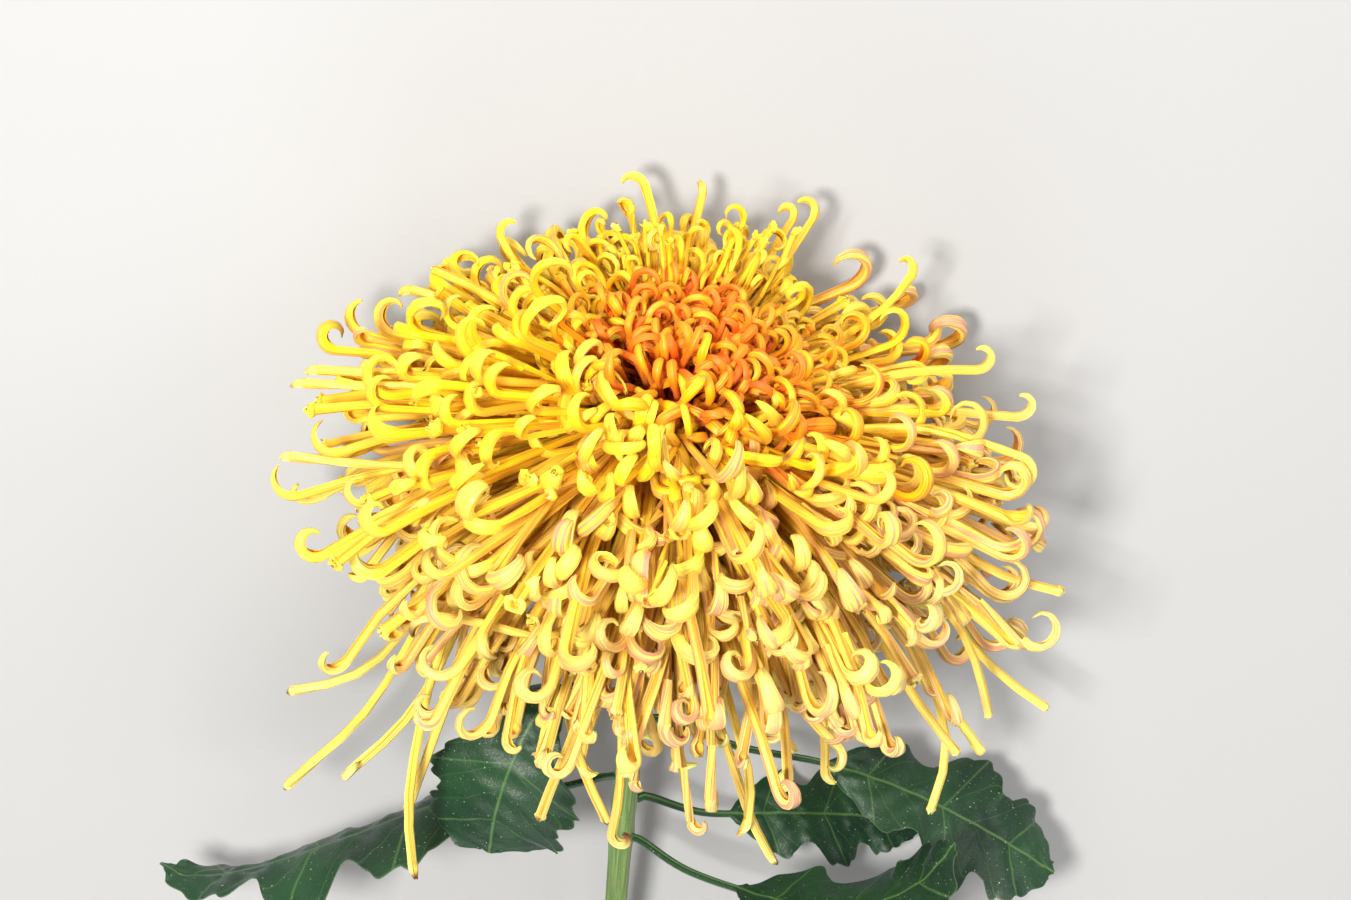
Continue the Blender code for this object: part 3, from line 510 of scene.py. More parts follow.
def leaf_finish(name, spot):
    """Dark, faintly bluish green with pale veins, white specks and a paler underside. `spot` is the place of
    one brown spot, or nothing."""
    made, tree = fresh(name)
    share, edge, across, under = kept(tree, "share", "edge", "across", "under")
    where = put(tree, "TexCoord").outputs["Object"]
    spots = use(tree, mottle, Blotch_Scale=45.0, Speck_Scale=1300.0)
    lines = ranged(tree, worked(tree, "ABSOLUTE", across), 0.65, 0.15, interpolation_type="SMOOTHSTEP")
    for at, slant, half, pale in (*((k, 0.03, 0.0065, 0.8) for k in SIDE_VEINS),
                                  *((k - 0.02, 0.13, 0.004, 0.4) for k in SMALL_VEINS)):
        one = use(tree, vein, Share=share, Edge=edge, At=at, Slant=slant, Half_Width=half)["Mask"]
        lines = worked(tree, "MAXIMUM", lines, worked(tree, "MULTIPLY", one, pale))
    cells = put(tree, "TexVoronoi", {"Vector": where, "Scale": 560.0}, feature="DISTANCE_TO_EDGE")
    netting = ranged(tree, cells.outputs["Distance"], 0.14, 0.0, 0.0, 0.6)
    colour = mixed(tree, spots["Blotches"], (0.004, 0.024, 0.010), (0.010, 0.050, 0.016))
    colour = mixed(tree, worked(tree, "MULTIPLY", netting, 0.22), colour, (0.022, 0.075, 0.028))
    colour = mixed(tree, lines, colour, (0.060, 0.135, 0.035))
    colour = mixed(tree, worked(tree, "MULTIPLY", under, 0.75), colour, (0.060, 0.120, 0.055))
    colour = mixed(tree, ranged(tree, edge, 0.972, 1.0, 0.0, 0.45), colour, (0.10, 0.17, 0.07))
    colour = mixed(tree, spots["Specks"], colour, (0.38, 0.46, 0.36))
    if spot is not None:
        far = put(tree, "VectorMath", {0: where, 1: spot}, operation="DISTANCE").outputs["Value"]
        ring = ramped(tree, far, ((0.0, (0.16, 0.10, 0.06)), (0.0022, (0.05, 0.03, 0.02))))
        colour = mixed(tree, ranged(tree, far, 0.0031, 0.0025), colour, ring)
    height = worked(tree, "SUBTRACT", spots["Grain"], netting)
    gloss = {"Specular IOR Level": 0.4, "Sheen Weight": 0.06, "Sheen Roughness": 0.4,
             "Sheen Tint": (0.7, 0.9, 1.0, 1)}
    close(tree, colour, ranged(tree, spots["Grain"], 0, 1, 0.34, 0.60), height, 0.00012, 0.5, gloss)
    return made


blade_green = leaf_finish("leaf_blade", None)
spotted_green = leaf_finish("leaf_blade_spotted", laid(seen([BROWN_SPOT]))[0] + RECEPTACLE)
for leaf in LEAVES:
    make_leaf(leaf, spotted_green if leaf[0] == "leaf_left" else blade_green)


# The involucre.
# A green cup of overlapping bracts that clasps the bloom from below. Each bract is a narrow scale with a
# green keel and a thin, papery, paler margin. They stand in three rows of fourteen, the lowest first.
CUP_RADIUS = np.array([0.9, 4.6, 6.4, 12.2, 14.6, 13.1, 9.5]) * MM
CUP_HEIGHT = np.array([-27.4, -27.2, -24.4, -20.0, -15.3, -15.9, -18.4]) * MM
CUP_FLUTES = np.array([0.0, 0.5, 0.9, 1.0, 0.93, 0.6, 0.2])
BRACTS, BRACTS_IN_ROW = 42, 14
# For each row of bracts: how far out and how high it begins and ends, and half its width, in mm.
BRACT_OUT = ((4.6, 6.4, 9.0), (11.0, 13.9, 15.6))
BRACT_UP = ((-26.9, -24.6, -22.6), (-20.4, -16.8, -13.6))
BRACT_HALF = (2.4, 2.9, 2.7)


def leaned(v, lean):
    """Directions turned about y by an angle, towards the viewer's right."""
    x, y, z = np.moveaxis(v, -1, 0)
    return np.stack([x * np.cos(lean) + z * np.sin(lean), y, z * np.cos(lean) - x * np.sin(lean)], axis=-1)


def ringed(out_by, angle, up_by):
    """Points at a distance out from the plant's axis, a way round it and a height, leaned with the bloom."""
    points = np.stack(np.broadcast_arrays(out_by * np.cos(angle), out_by * np.sin(angle), up_by), axis=-1)
    return laid(leaned(points, BLOOM_LEAN)) + RECEPTACLE


def bract_scales(bract, span):
    """The bracts' skins: outer then inner face, from margin to margin (-1 to 1), at each of eleven heights.

    A bract moves out from its lower end with a sine and up with a power, is widest near the middle by a sine,
    and stands proud by a bell-shaped keel and a low arch. Its inner face lies just inside it."""
    row = bract // BRACTS_IN_ROW
    rise = np.linspace(0, 1, 11)
    out_from, out_to = np.array(BRACT_OUT)[:, row, None] * MM
    up_from, up_to = np.array(BRACT_UP)[:, row, None] * MM
    half_most = np.array(BRACT_HALF)[row, None] * MM
    out_by = out_from + (out_to - out_from) * np.sin(rise * np.pi / 2) + 0.5 * MM
    up_by = up_from + (up_to - up_from) * rise**1.35
    half_by = half_most * np.sin(np.pi * (0.16 + 0.84 * rise)) ** 0.6 + 0.15 * MM
    middle = bract * 2 * np.pi / BRACTS_IN_ROW + row * 0.23 + 0.06 * np.sin(bract * 2.4)
    spread = middle[:, None, None] + half_by[..., None] * span / out_by[..., None]
    keel = 0.35 * MM * np.exp(-((span / 0.25) ** 2))
    outer = out_by[..., None] + keel + 0.25 * MM * (1 - span**2)
    low = up_by[..., None] - 0.15 * MM
    face_out = ringed(outer, spread, low)
    face_in = ringed(out_by[..., None] - 0.18 * MM, spread, low + 0.2 * MM)
    return np.concatenate([face_out[:, :, ::-1], face_in], axis=2)


bract_green, tree = fresh("bract")
edge, seed = kept(tree, "edge", "chance")
spots = use(tree, mottle, Blotch_Scale=160.0, Speck_Scale=1800.0)
lines = use(tree, streaks, Around=edge, Seed=seed, Fineness=12.0)["Mask"]
green = mixed(tree, lines, (0.05, 0.12, 0.03), (0.12, 0.23, 0.06))
papery = mixed(tree, ranged(tree, edge, 0.62, 0.95), green, (0.40, 0.33, 0.16))
haired = mixed(tree, spots["Specks"], papery, (0.45, 0.5, 0.36))
close(tree, haired, ranged(tree, spots["Grain"], 0, 1, 0.45, 0.7), lines, 0.0001, 0.7,
      {"Sheen Weight": 0.2, "Sheen Roughness": 0.4})

angle = np.linspace(0, 2 * np.pi, 52, endpoint=False)
flute = 1 + 0.025 * np.cos(13 * angle) * CUP_FLUTES[:, None]
cup = ringed(CUP_RADIUS[:, None] * flute, angle, CUP_HEIGHT[:, None])
clasp = skin("involucre_cup", cup[None], bract_green, (("edge", 0.2), ("chance", 0.5)))
bract = np.arange(BRACTS)
span = np.linspace(-1, 1, 7)
marks = ("edge", np.abs(np.concatenate([span[::-1], span]))), ("chance", (bract / BRACTS)[:, None, None])
bracts = skin("involucre_bracts", bract_scales(bract, span), bract_green, marks)
for piece in (clasp, bracts):
    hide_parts("involucre")


# The florets.
# Each is a narrow tube of petal that grows from the receptacle, droops a little, then hooks round on itself
# where it opens into a scoop with a toothed end. They follow the golden angle and are longer towards the rim.
BLOOM_SEED = 11
LOOKS_SEED = 23
GOLDEN_ANGLE = math.radians(137.508)
HEART_COUNT = 140
RAY_COUNT = 480
HEART_SPREAD = math.radians(36)
RAY_FIRST = math.radians(50)
RAY_LAST = math.radians(118)
HEART_LEAN = math.radians(12)
QUILL_STEPS = 14
CURL_STEPS = 24
HEART_ROOT, RAY_ROOT = 14 * MM, 8 * MM
QUILL_EASE, CURL_EASE = 30 * MM, 0.006
STEM_CLEARANCE, LEAF_CLEARANCE = 6.4 * MM, 4.2 * MM
ARCH = 16 * MM
# How a ray's length and droop grow with its polar angle, in degrees, mm and degrees.
RAY_POLAR = (50, 60, 75, 90, 105, 118)
RAY_QUILL = (52, 62, 78, 92, 96, 94)
RAY_DROOP = (4, 12, 12, 20, 42, 54)
# Near the rim's underside the curls grow smaller, between these polar angles in degrees.
LOW_RIM = (98, 110)
# Long florets that stand out of the bloom, each by the points where it is seen (right, up, in front, in mm),
# and its curl: turn in degrees, radius in mm, roll in degrees from its upper side, and how brown its tip is.
LONG_FLORETS = (
    ([(-26, -53, 60), (-30, -75, 60), (-28, -88, 58), (-24, -101, 55), (-18, -113, 52)], (20, 8, 0, 1)),
    ([(-17, -56, 66), (-22, -72, 68), (-28, -91, 66), (-34, -103, 62), (-37, -112, 60)], (30, 5, 0, 0.6)),
    ([(-12, -63, 62), (-13, -88, 60), (-13, -106, 56), (-16, -118, 53)], (270, 2.5, -90, 1)),
    ([(-13, -60, 56), (-18, -75, 57), (-24, -88, 56), (-25, -95, 55)], (150, 3.5, -80, 0)),
    ([(-11, -60, 64), (-7, -75, 66), (-2, -91, 64)], (330, 3, 120, 0)),
    ([(2, -46, 55), (5, -61, 58), (5, -76, 56), (3, -93, 54)], (120, 5, -90, 0)),
    ([(-26, -57, 60), (-39, -60, 68), (-55, -54, 68), (-68, -53, 60)], (80, 12, 175, 1)),
    ([(-68, -62, 36), (-73, -88, 46), (-78, -107, 50), (-76, -126, 50)], (40, 9, -90, 1)),
    ([(-60, -66, 38), (-70, -91, 40), (-77, -110, 36)], (20, 8, 0, 0.5)),
    ([(-84, -74, 14), (-96, -89, 13), (-106, -96, 11), (-113, -103, 10)], (20, 8, 180, 1)),
    ([(-71, -75, 22), (-81, -88, 24), (-92, -97, 24)], (290, 3.2, -60, 0)),
    ([(-80, -60, 15), (-90, -70, 14), (-99, -74, 13), (-111, -75, 12)], (20, 8, 180, 1)),
    ([(16, -66, 48), (22, -88, 50), (27, -105, 49), (25, -113, 48)], (60, 7, 90, 0.3)),
    ([(12, -70, 46), (22, -101, 46), (25, -114, 44), (31, -124, 42)], (25, 12, -90, 1)),
    ([(22, -66, 60), (29, -80, 62), (37, -91, 60)], (40, 5, 0, 0)),
    ([(33, -68, 50), (43, -83, 52), (52, -92, 50)], (190, 3.4, 90, 0)),
    ([(46, -76, 36), (48, -90, 36), (48, -99, 34)], (110, 3, 0, 0)),
    ([(70, -70, 30), (80, -84, 31), (87, -93, 30)], (20, 5, 0, 0)),
    ([(78, -70, 14), (87, -82, 15), (94, -92, 14)], (230, 2.6, -120, 0)),
    ([(89, -56, 20), (94, -70, 21), (97, -82, 20)], (15, 5, 0, 0)),
    ([(92, -62, 5), (103, -73, 5), (114, -80, 5)], (10, 5, 0, 0.2)),
    ([(92, -36, 15), (104, -42, 15), (117, -45, 14)], (40, 4, 0, 0.2)),
    ([(83, -80, 16), (86, -94, 22), (80, -110, 26)], (15, 8, 0, 0)),
    ([(-57, 20, 10), (-85, 20, 10), (-104, 21, 10)], (40, 5, 180, 0.3)),
    ([(-62, 16, 16), (-85, 16, 15), (-108, 17, 14)], (35, 7, 180, 0.5)),
    ([(-54, 37, -30), (-66, 43, -33), (-76, 45, -34)], (90, 3, 180, 0)),
    ([(-46, 39, -18), (-60, 47, -20), (-69, 51, -21)], (10, 5, 0, 0)),
    ([(-40, 47, -40), (-47, 55, -46), (-49, 60, -48)], (150, 3.6, 60, 0)),
    ([(-2, 58, -48), (-4, 69, -56), (-6, 76, -60)], (150, 3.8, -90, 0)),
    ([(6, 54, -46), (9, 65, -54), (11, 73, -60)], (50, 6, -90, 0.4)),
    ([(30, 46, -44), (40, 60, -54), (44, 66, -57)], (160, 4, -80, 0)),
    ([(27, 48, -46), (34, 60, -54), (38, 66, -58)], (200, 2.6, -80, 0)),
    ([(58, 34, -28), (70, 43, -34), (73, 48, -36)], (150, 4.4, -80, 0)),
    ([(76, 4, 20), (95, -1, 20), (107, -5, 19)], (250, 4.6, 180, 0)),
    ([(70, 10, 10), (91, 8, 10), (105, 7, 9)], (200, 3.6, 0, 0)),
    ([(60, 18, 0), (77, 21, 0), (93, 21, -1)], (210, 3.6, 0, 0)),
    ([(-70, -8, 24), (-92, -7, 22), (-112, -5, 20)], (30, 6, 180, 0)),
)
# The florets that carry the bloom: way round in degrees, polar angle in degrees, length in mm.
RESTING_FLORETS = ((60, 98, 100), (120, 98, 100), (90, 88, 92), (40, 104, 106), (140, 104, 106))


def wider(quill, azimuth, polar):
    """Rays that reach further at the viewer's right and left, by the cosine of their way round."""
    level = np.clip(1 - np.abs(polar - math.radians(88)) / math.radians(40), 0, 1)
    return quill * (1 + level * np.where(np.cos(azimuth) > 0, 0.20, 0.06) * np.cos(azimuth) ** 2)


def plan_of(heart, **numbers):
    """Each floret's numbers by name, in radians and metres, with those that all of its kind share."""
    return numbers | {"heart": heart, "root": np.where(heart, HEART_ROOT, RAY_ROOT),
                      "reach": np.full(len(heart), QUILL_EASE), "untwist": np.zeros(len(heart))}


def bloom_plan():
    """The numbers of the florets in the main spiral: seeded normal noise about values that follow the polar
    angle."""
    draw = np.random.default_rng(BLOOM_SEED)
    total = HEART_COUNT + RAY_COUNT
    i = np.arange(total)
    heart = i < HEART_COUNT
    share = np.where(heart, (i + 0.5) / HEART_COUNT, (i - HEART_COUNT + 0.5) / RAY_COUNT)
    cos_ray = math.cos(RAY_FIRST) + share * (math.cos(RAY_LAST) - math.cos(RAY_FIRST))
    polar = np.where(heart, HEART_SPREAD * np.sqrt(share), np.arccos(cos_ray))
    degrees = np.degrees(polar)
    noise = draw.standard_normal((9, total)).clip(-2, 2)
    spin = draw.random((3, total))
    ray_droop, ray_quill = (np.interp(degrees, RAY_POLAR, numbers) for numbers in (RAY_DROOP, RAY_QUILL))
    droop = np.where(heart, -6 + 14 * share + 11 * noise[3], ray_droop + 6 * noise[3])
    quill = np.where(heart, 42 + 4 * noise[2], ray_quill * (1 + 0.10 * noise[2]))
    roll = np.where(heart, 40 * noise[7], np.where(spin[0] < 0.72, 32 * noise[7], 360 * spin[1]))
    straight = (~heart) & (draw.random(total) < 0.10)
    azimuth = i * GOLDEN_ANGLE + np.radians(3) * noise[0]
    scattered = polar + np.radians(np.where(heart, 1.5, 2.5)) * noise[1]
    ray_radius = (4.9 + 0.9 * noise[6]) * np.interp(degrees, LOW_RIM, (1, 0.7))
    return plan_of(
        heart,
        straight=straight,
        azimuth=azimuth,
        polar=np.maximum(scattered, np.where(heart, 0, RAY_FIRST)),
        quill=np.where(heart, quill, wider(quill, azimuth, polar)) * MM,
        droop=np.radians(droop),
        sway=np.radians(12) * noise[4],
        curl=np.radians(np.where(straight, 35, np.where(heart, 250 + 35 * noise[5], 215 + 50 * noise[5]))),
        curl_radius=MM * np.where(heart, 3.3 + 0.5 * noise[6], ray_radius),
        roll=np.radians(roll),
        rest=MM * (1.4 + 10 * spin[2] ** 1.5),
        width=1 + 0.10 * noise[8])


def between_plan(seed, count, first, last, quills, droops, curl, radius, roll, heart=False):
    """Florets of another spiral that fill the bloom between those of the first. Their polar angles run evenly
    over the sphere's area from `first` to `last` degrees, and quills and droops are read off their tables."""
    draw = np.random.default_rng(seed)
    i = np.arange(count)
    share = (i + 0.5) / count
    cos_first, cos_last = np.cos(np.radians([first, last]))
    polar = np.degrees(np.arccos(cos_first * (1 - share) + cos_last * share))
    noise = draw.standard_normal((8, count)).clip(-2, 2)
    spin = draw.random((4, count))
    azimuth = (i + 0.5) * GOLDEN_ANGLE + 1.3 + np.radians(4) * noise[0]
    straight = (spin[0] < 0.09 + 0.26 * np.clip(-np.cos(azimuth), 0, 1)) & (not heart)
    quill = np.interp(polar, *quills) * (1 + 0.11 * noise[2] + 0.08 * straight)
    return plan_of(
        np.full(count, heart),
        straight=straight,
        azimuth=azimuth,
        polar=np.radians(np.clip(polar + 2.5 * noise[1], 0, 125)),
        quill=(quill if heart else wider(quill, azimuth, np.radians(polar))) * MM,
        droop=np.radians(np.interp(polar, *droops) + 7 * noise[3]),
        sway=np.radians(14) * noise[4],
        curl=np.radians(np.where(straight, 30, curl[0] + curl[1] * noise[5])),
        curl_radius=MM * (radius[0] + radius[1] * noise[6]) * np.interp(polar, LOW_RIM, (1, 0.7)),
        roll=np.radians(np.where(spin[1] < 0.65, roll * noise[7], 360 * spin[2])),
        rest=MM * (2 + 12 * spin[3]),
        width=0.97 + 0.10 * draw.standard_normal(count).clip(-2, 2))


def resting_plan():
    """The florets that lie flat on the surface and carry the bloom."""
    azimuth, polar, quill = np.array(RESTING_FLORETS, float).T
    same = {"droop": 0.0, "sway": 0.0, "curl": np.radians(70), "curl_radius": 9 * MM, "roll": np.radians(90),
            "rest": 0.4 * MM, "reach": 9 * MM, "untwist": 1.0, "root": RAY_ROOT, "width": 1.15,
            "heart": False, "straight": False}
    plan = {"azimuth": np.radians(azimuth), "polar": np.radians(polar), "quill": quill * MM}
    return plan | {name: np.full(len(quill), value) for name, value in same.items()}


def lean_of(polar):
    """The bloom leans as a whole, and its heart leans further, by a share that fades towards the rim."""
    return BLOOM_LEAN + HEART_LEAN * np.clip((math.radians(95) - polar) / math.radians(45), 0, 1)


def start_frames(plan):
    """The direction of each floret on a sphere, and the way its upper side looks, towards the crown."""
    polar, azimuth = plan["polar"], plan["azimuth"]
    lean = lean_of(polar)
    sp, cp, sa, ca = np.sin(polar), np.cos(polar), np.sin(azimuth), np.cos(azimuth)
    along = np.stack([sp * ca, sp * sa, cp], axis=-1)
    upper = np.stack([-cp * ca, -cp * sa, sp], axis=-1)
    return laid(leaned(along, lean)), laid(leaned(upper, lean))


def away_from(plan, direction):
    """How many degrees each floret's start lies away from a direction of length 1."""
    return np.degrees(np.arccos(np.clip(start_frames(plan)[0] @ direction, -1, 1)))


def square(along, upper):
    """The upper side made square to the way along, at length 1."""
    return unit(upper - along * np.sum(upper * along, axis=-1, keepdims=True))


def turned(along, upper, up_turn, side_turn):
    """A frame turned by small angles towards its upper side and sideways."""
    upper = square(along, upper)
    side = np.cross(along, upper)
    ahead = unit(along + upper * np.tan(up_turn)[:, None] + side * np.tan(side_turn)[:, None])
    return ahead, square(ahead, upper)


def eased_down(place, along, upper, rest, reach):
    """A frame turned level where it heads down close to the surface: its fall is scaled by the room left."""
    room = np.clip((place[:, 2] - rest) / reach, 0, 1)
    fall = np.where(along[:, 2] < 0, room * (2 - room), 1)
    level = unit(along * np.stack([np.ones_like(fall), np.ones_like(fall), fall], axis=-1))
    return level, square(level, upper)


def grow_quills(plan):
    """The long part of each floret in equal steps: the droop grows along it, the sway swings out and back."""
    along, upper = start_frames(plan)
    place = RECEPTACLE + along * plan["root"][:, None]
    step = (plan["quill"] - plan["root"]) / QUILL_STEPS
    rings = [(place, along, upper)]
    for k in range(QUILL_STEPS):
        share = 2 * (k + 0.5) / QUILL_STEPS**2
        swing = math.sin(math.pi * (k + 0.5) / QUILL_STEPS) * math.pi / (2 * QUILL_STEPS)
        upper = upper + plan["untwist"][:, None] * (0, 0, 0.4)
        along, upper = turned(along, upper, -plan["droop"] * share, plan["sway"] * swing)
        along, upper = eased_down(place, along, upper, plan["rest"], plan["reach"])
        place = place + along * step[:, None]
        place[:, 2] = np.maximum(place[:, 2], plan["rest"])
        rings.append((place, along, upper))
    return rings


def grow_curls(rings, curl, radius, roll, rest):
    """The hooked end: equal steps that turn by a growing share of the curl, so it tightens to the tip."""
    place, along, upper = rings[-1]
    step = curl * radius / CURL_STEPS
    rings = list(rings)
    for share in np.linspace(0.6, 1.4, CURL_STEPS) / CURL_STEPS:
        turn = curl * share
        along, upper = turned(along, upper, turn * np.cos(roll), turn * np.sin(roll))
        along, upper = eased_down(place, along, upper, rest, CURL_EASE)
        place = place + along * step[:, None]
        place[:, 2] = np.maximum(place[:, 2], rest)
        rings.append((place, along, upper))
    return np.stack([np.stack(ring, axis=1) for ring in rings], axis=1)


def grow(plan):
    """The florets of a plan: florets x rings x (place, along, upper) x 3."""
    return grow_curls(grow_quills(plan), plan["curl"], plan["curl_radius"], plan["roll"], plan["rest"])


def long_quills():
    """The long part of the florets that stand out: a smooth curve through where each is seen, arched upwards
    before it falls by half of the fall. Averaging places with their neighbours twice eases the bends."""
    lines = []
    for points, _ in LONG_FLORETS:
        outer = seen(points)
        lift = np.array([0, 0, 0.5 * max(0, -outer[0][2])])
        first = unit(outer[0] + 2 * lift) * RAY_ROOT
        lines.append(smooth_curve([first, 0.5 * outer[0] + lift, *outer], np.linspace(0, 1, QUILL_STEPS + 1)))
    place = np.stack(lines, axis=1)
    for _ in range(2):
        place[1:-1] = (place[:-2] + 2 * place[1:-1] + place[2:]) / 4
    place = laid(place) + RECEPTACLE
    along = unit(np.gradient(place, axis=0))
    upper = square(unit(place[1] - RECEPTACLE), np.broadcast_to(laid([0.0, 0.0, 1.0]), place[1].shape))
    rings = []
    for p, a in zip(place, along):
        upper = square(a, upper)
        rings.append((p, a, upper))
    return rings


def leaf_and_stem_points():
    """Places on the stem and the leaves, each with the distance that a floret keeps from it."""
    stem = laid(stem_line(np.arange(0.026, STEM_LENGTH, 0.003))) + RECEPTACLE
    found = [np.column_stack([stem, np.full(len(stem), STEM_CLEARANCE)])]
    for leaf in LEAVES:
        place = np.concatenate([np.linspace(0, leaf[5], 5)[:-1], np.linspace(leaf[5], 1, 36)])
        middle, *_ = leaf_middle(leaf, place, np.linspace(-1, 1, 13))
        found.append(np.column_stack([middle.reshape(-1, 3), np.full(middle.size // 3, LEAF_CLEARANCE)]))
    return np.concatenate(found)


def near_miss(florets, obstacles):
    """Which florets come within reach of an obstacle, from the squared distances of all pairs of points."""
    line = florets[:, :, 0]
    line = np.concatenate([line, (line[:, 1:] + line[:, :-1]) / 2], axis=1)
    flat = line.reshape(-1, 3)
    where, reach = obstacles[:, :3], obstacles[:, 3]
    apart = (flat**2).sum(1)[:, None] + (where**2).sum(1) - 2 * flat @ where.T
    return (apart < reach**2).any(axis=1).reshape(line.shape[:2]).any(axis=1)


def arched(florets, plan):
    """The rays' first part raised towards the crown, most at the root and none at the hook, as they grow from
    the sides of a tall receptacle."""
    share = np.concatenate([np.linspace(0, 1, QUILL_STEPS + 1), np.ones(CURL_STEPS)])
    raised = ARCH * np.clip((math.radians(112) - plan["polar"]) / math.radians(40), 0, 1) * ~plan["heart"]
    florets = florets.copy()
    florets[:, :, 0] += laid([0.0, 0.0, 1.0]) * (raised[:, None] * (1 - share) ** 2)[..., None]
    return florets


def chosen_of(plan, chosen):
    """The numbers of the chosen florets alone."""
    return {name: values[chosen] for name, values in plan.items()}


def grown(plan, obstacles):
    """The florets of a plan, each shortened until it clears the obstacles, and left out if it can't."""
    plan = {name: values.copy() for name, values in plan.items()}
    florets = grow(plan)
    for _ in range(7):
        caught = np.flatnonzero(near_miss(florets, obstacles))
        if not len(caught):
            break
        plan["quill"][caught] *= 0.90
        florets[caught] = grow(chosen_of(plan, caught))
    clear = ~near_miss(florets, obstacles)
    plan = chosen_of(plan, clear)
    return arched(florets[clear], plan), plan


def within(plan, direction, lowest, highest):
    """The florets of a plan whose start lies from `lowest` to `highest` degrees away from a direction."""
    off = away_from(plan, unit(np.asarray(direction)))
    return chosen_of(plan, (off >= lowest) & (off <= highest))


def ray_plan(seed, count, first, last, share, *curled):
    """A spiral of rays whose lengths are a share of the main spiral's."""
    quills = RAY_POLAR, np.array(RAY_QUILL) * share
    return between_plan(seed, count, first, last, quills, (RAY_POLAR, RAY_DROOP), *curled)


def even_plan(seed, count, first, last, quill, droop, *curled):
    """A spiral whose lengths and droops change evenly from its first polar angle to its last."""
    return between_plan(seed, count, first, last, ((first, last), quill), ((first, last), droop), *curled)


# Directions that choose florets by where they start. The eye is the small dark gap in front of the heart,
# where florets part. Facing looks at the viewer. The summit is the crest of narrow rays at the bloom's top as
# the viewer sees it, a little to the right. The heart's middle, where it is reddest, lies between the two.
obstacles = leaf_and_stem_points()
EYE = laid([-4.5, -30.8, 32.4])
FACING = np.array([0.0, -ahead.y, -ahead.z])
UNDERSIDE = np.array([0.0, 0.0, -1.0])
SUMMIT = np.array(upward) - 0.25 * FACING + np.array([0.16, 0, 0])
HEART_MIDDLE = unit(0.80 * np.array(upward) + 0.56 * FACING + np.array([0.21, 0, 0]))
between = ray_plan(31, 430, 49, 120, 0.84, (235, 50), (4.5, 0.8), 60)
inner = ray_plan(73, 210, 50, 100, 0.68, (225, 50), (4.3, 0.8), 70)
skirt = ray_plan(83, 330, 84, 116, 0.92, (245, 70), (3.8, 1.1), 80)
fringe = ray_plan(101, 100, 103, 117, 1.12, (200, 80), (3.8, 0.8), 90)
shoulder = even_plan(47, 150, 32, 60, (44, 52), (2, 8), (250, 45), (3.6, 0.6), 70, True)
summit = even_plan(97, 660, 20, 78, (57, 63), (0, 6), (235, 60), (2.7, 0.6), 120)
crown = even_plan(59, 250, 0, 50, (39, 43), (-4, 6), (290, 45), (2.9, 0.4), 110, True)
parts = [grown(plan, obstacles) for plan in (
    within(bloom_plan(), EYE, 7, 180),
    within(within(between, EYE, 6, 180), UNDERSIDE, 42, 180),
    within(within(inner, EYE, 6, 180), FACING, 0, 52),
    within(skirt, FACING, 0, 62),
    within(fringe, FACING, 0, 60),
    within(shoulder, EYE, 8, 180),
    crown,
    within(summit, SUMMIT, 0, 31))]
regular = np.concatenate([florets for florets, _ in parts])
plan = {name: np.concatenate([found[name] for _, found in parts]) for name in parts[0][1]}
resting, _ = grown(resting_plan(), obstacles)
curls = np.array([curl for _, curl in LONG_FLORETS], float)
curl_turn, curl_radius, curl_roll, tip_brown = curls.T
standing = grow_curls(long_quills(), np.radians(curl_turn), curl_radius * MM, np.radians(curl_roll),
                      np.full(len(curls), 2 * MM))

# The rings of a grown floret that its mesh keeps, the last one twice: fewer in the heart, all on long ones.
RAY_RINGS = np.array([0, 3, 6, 9, 12, 14, 15, 17, 18, 20, 21, 23, 24, 26, 27, 29, 30, 32, 33, 35, 36, 38, 38])
HEART_RINGS = np.array([0, 6, 12, *range(14, 39, 2), 38])
LONG_RINGS = np.array([*range(39), 38])


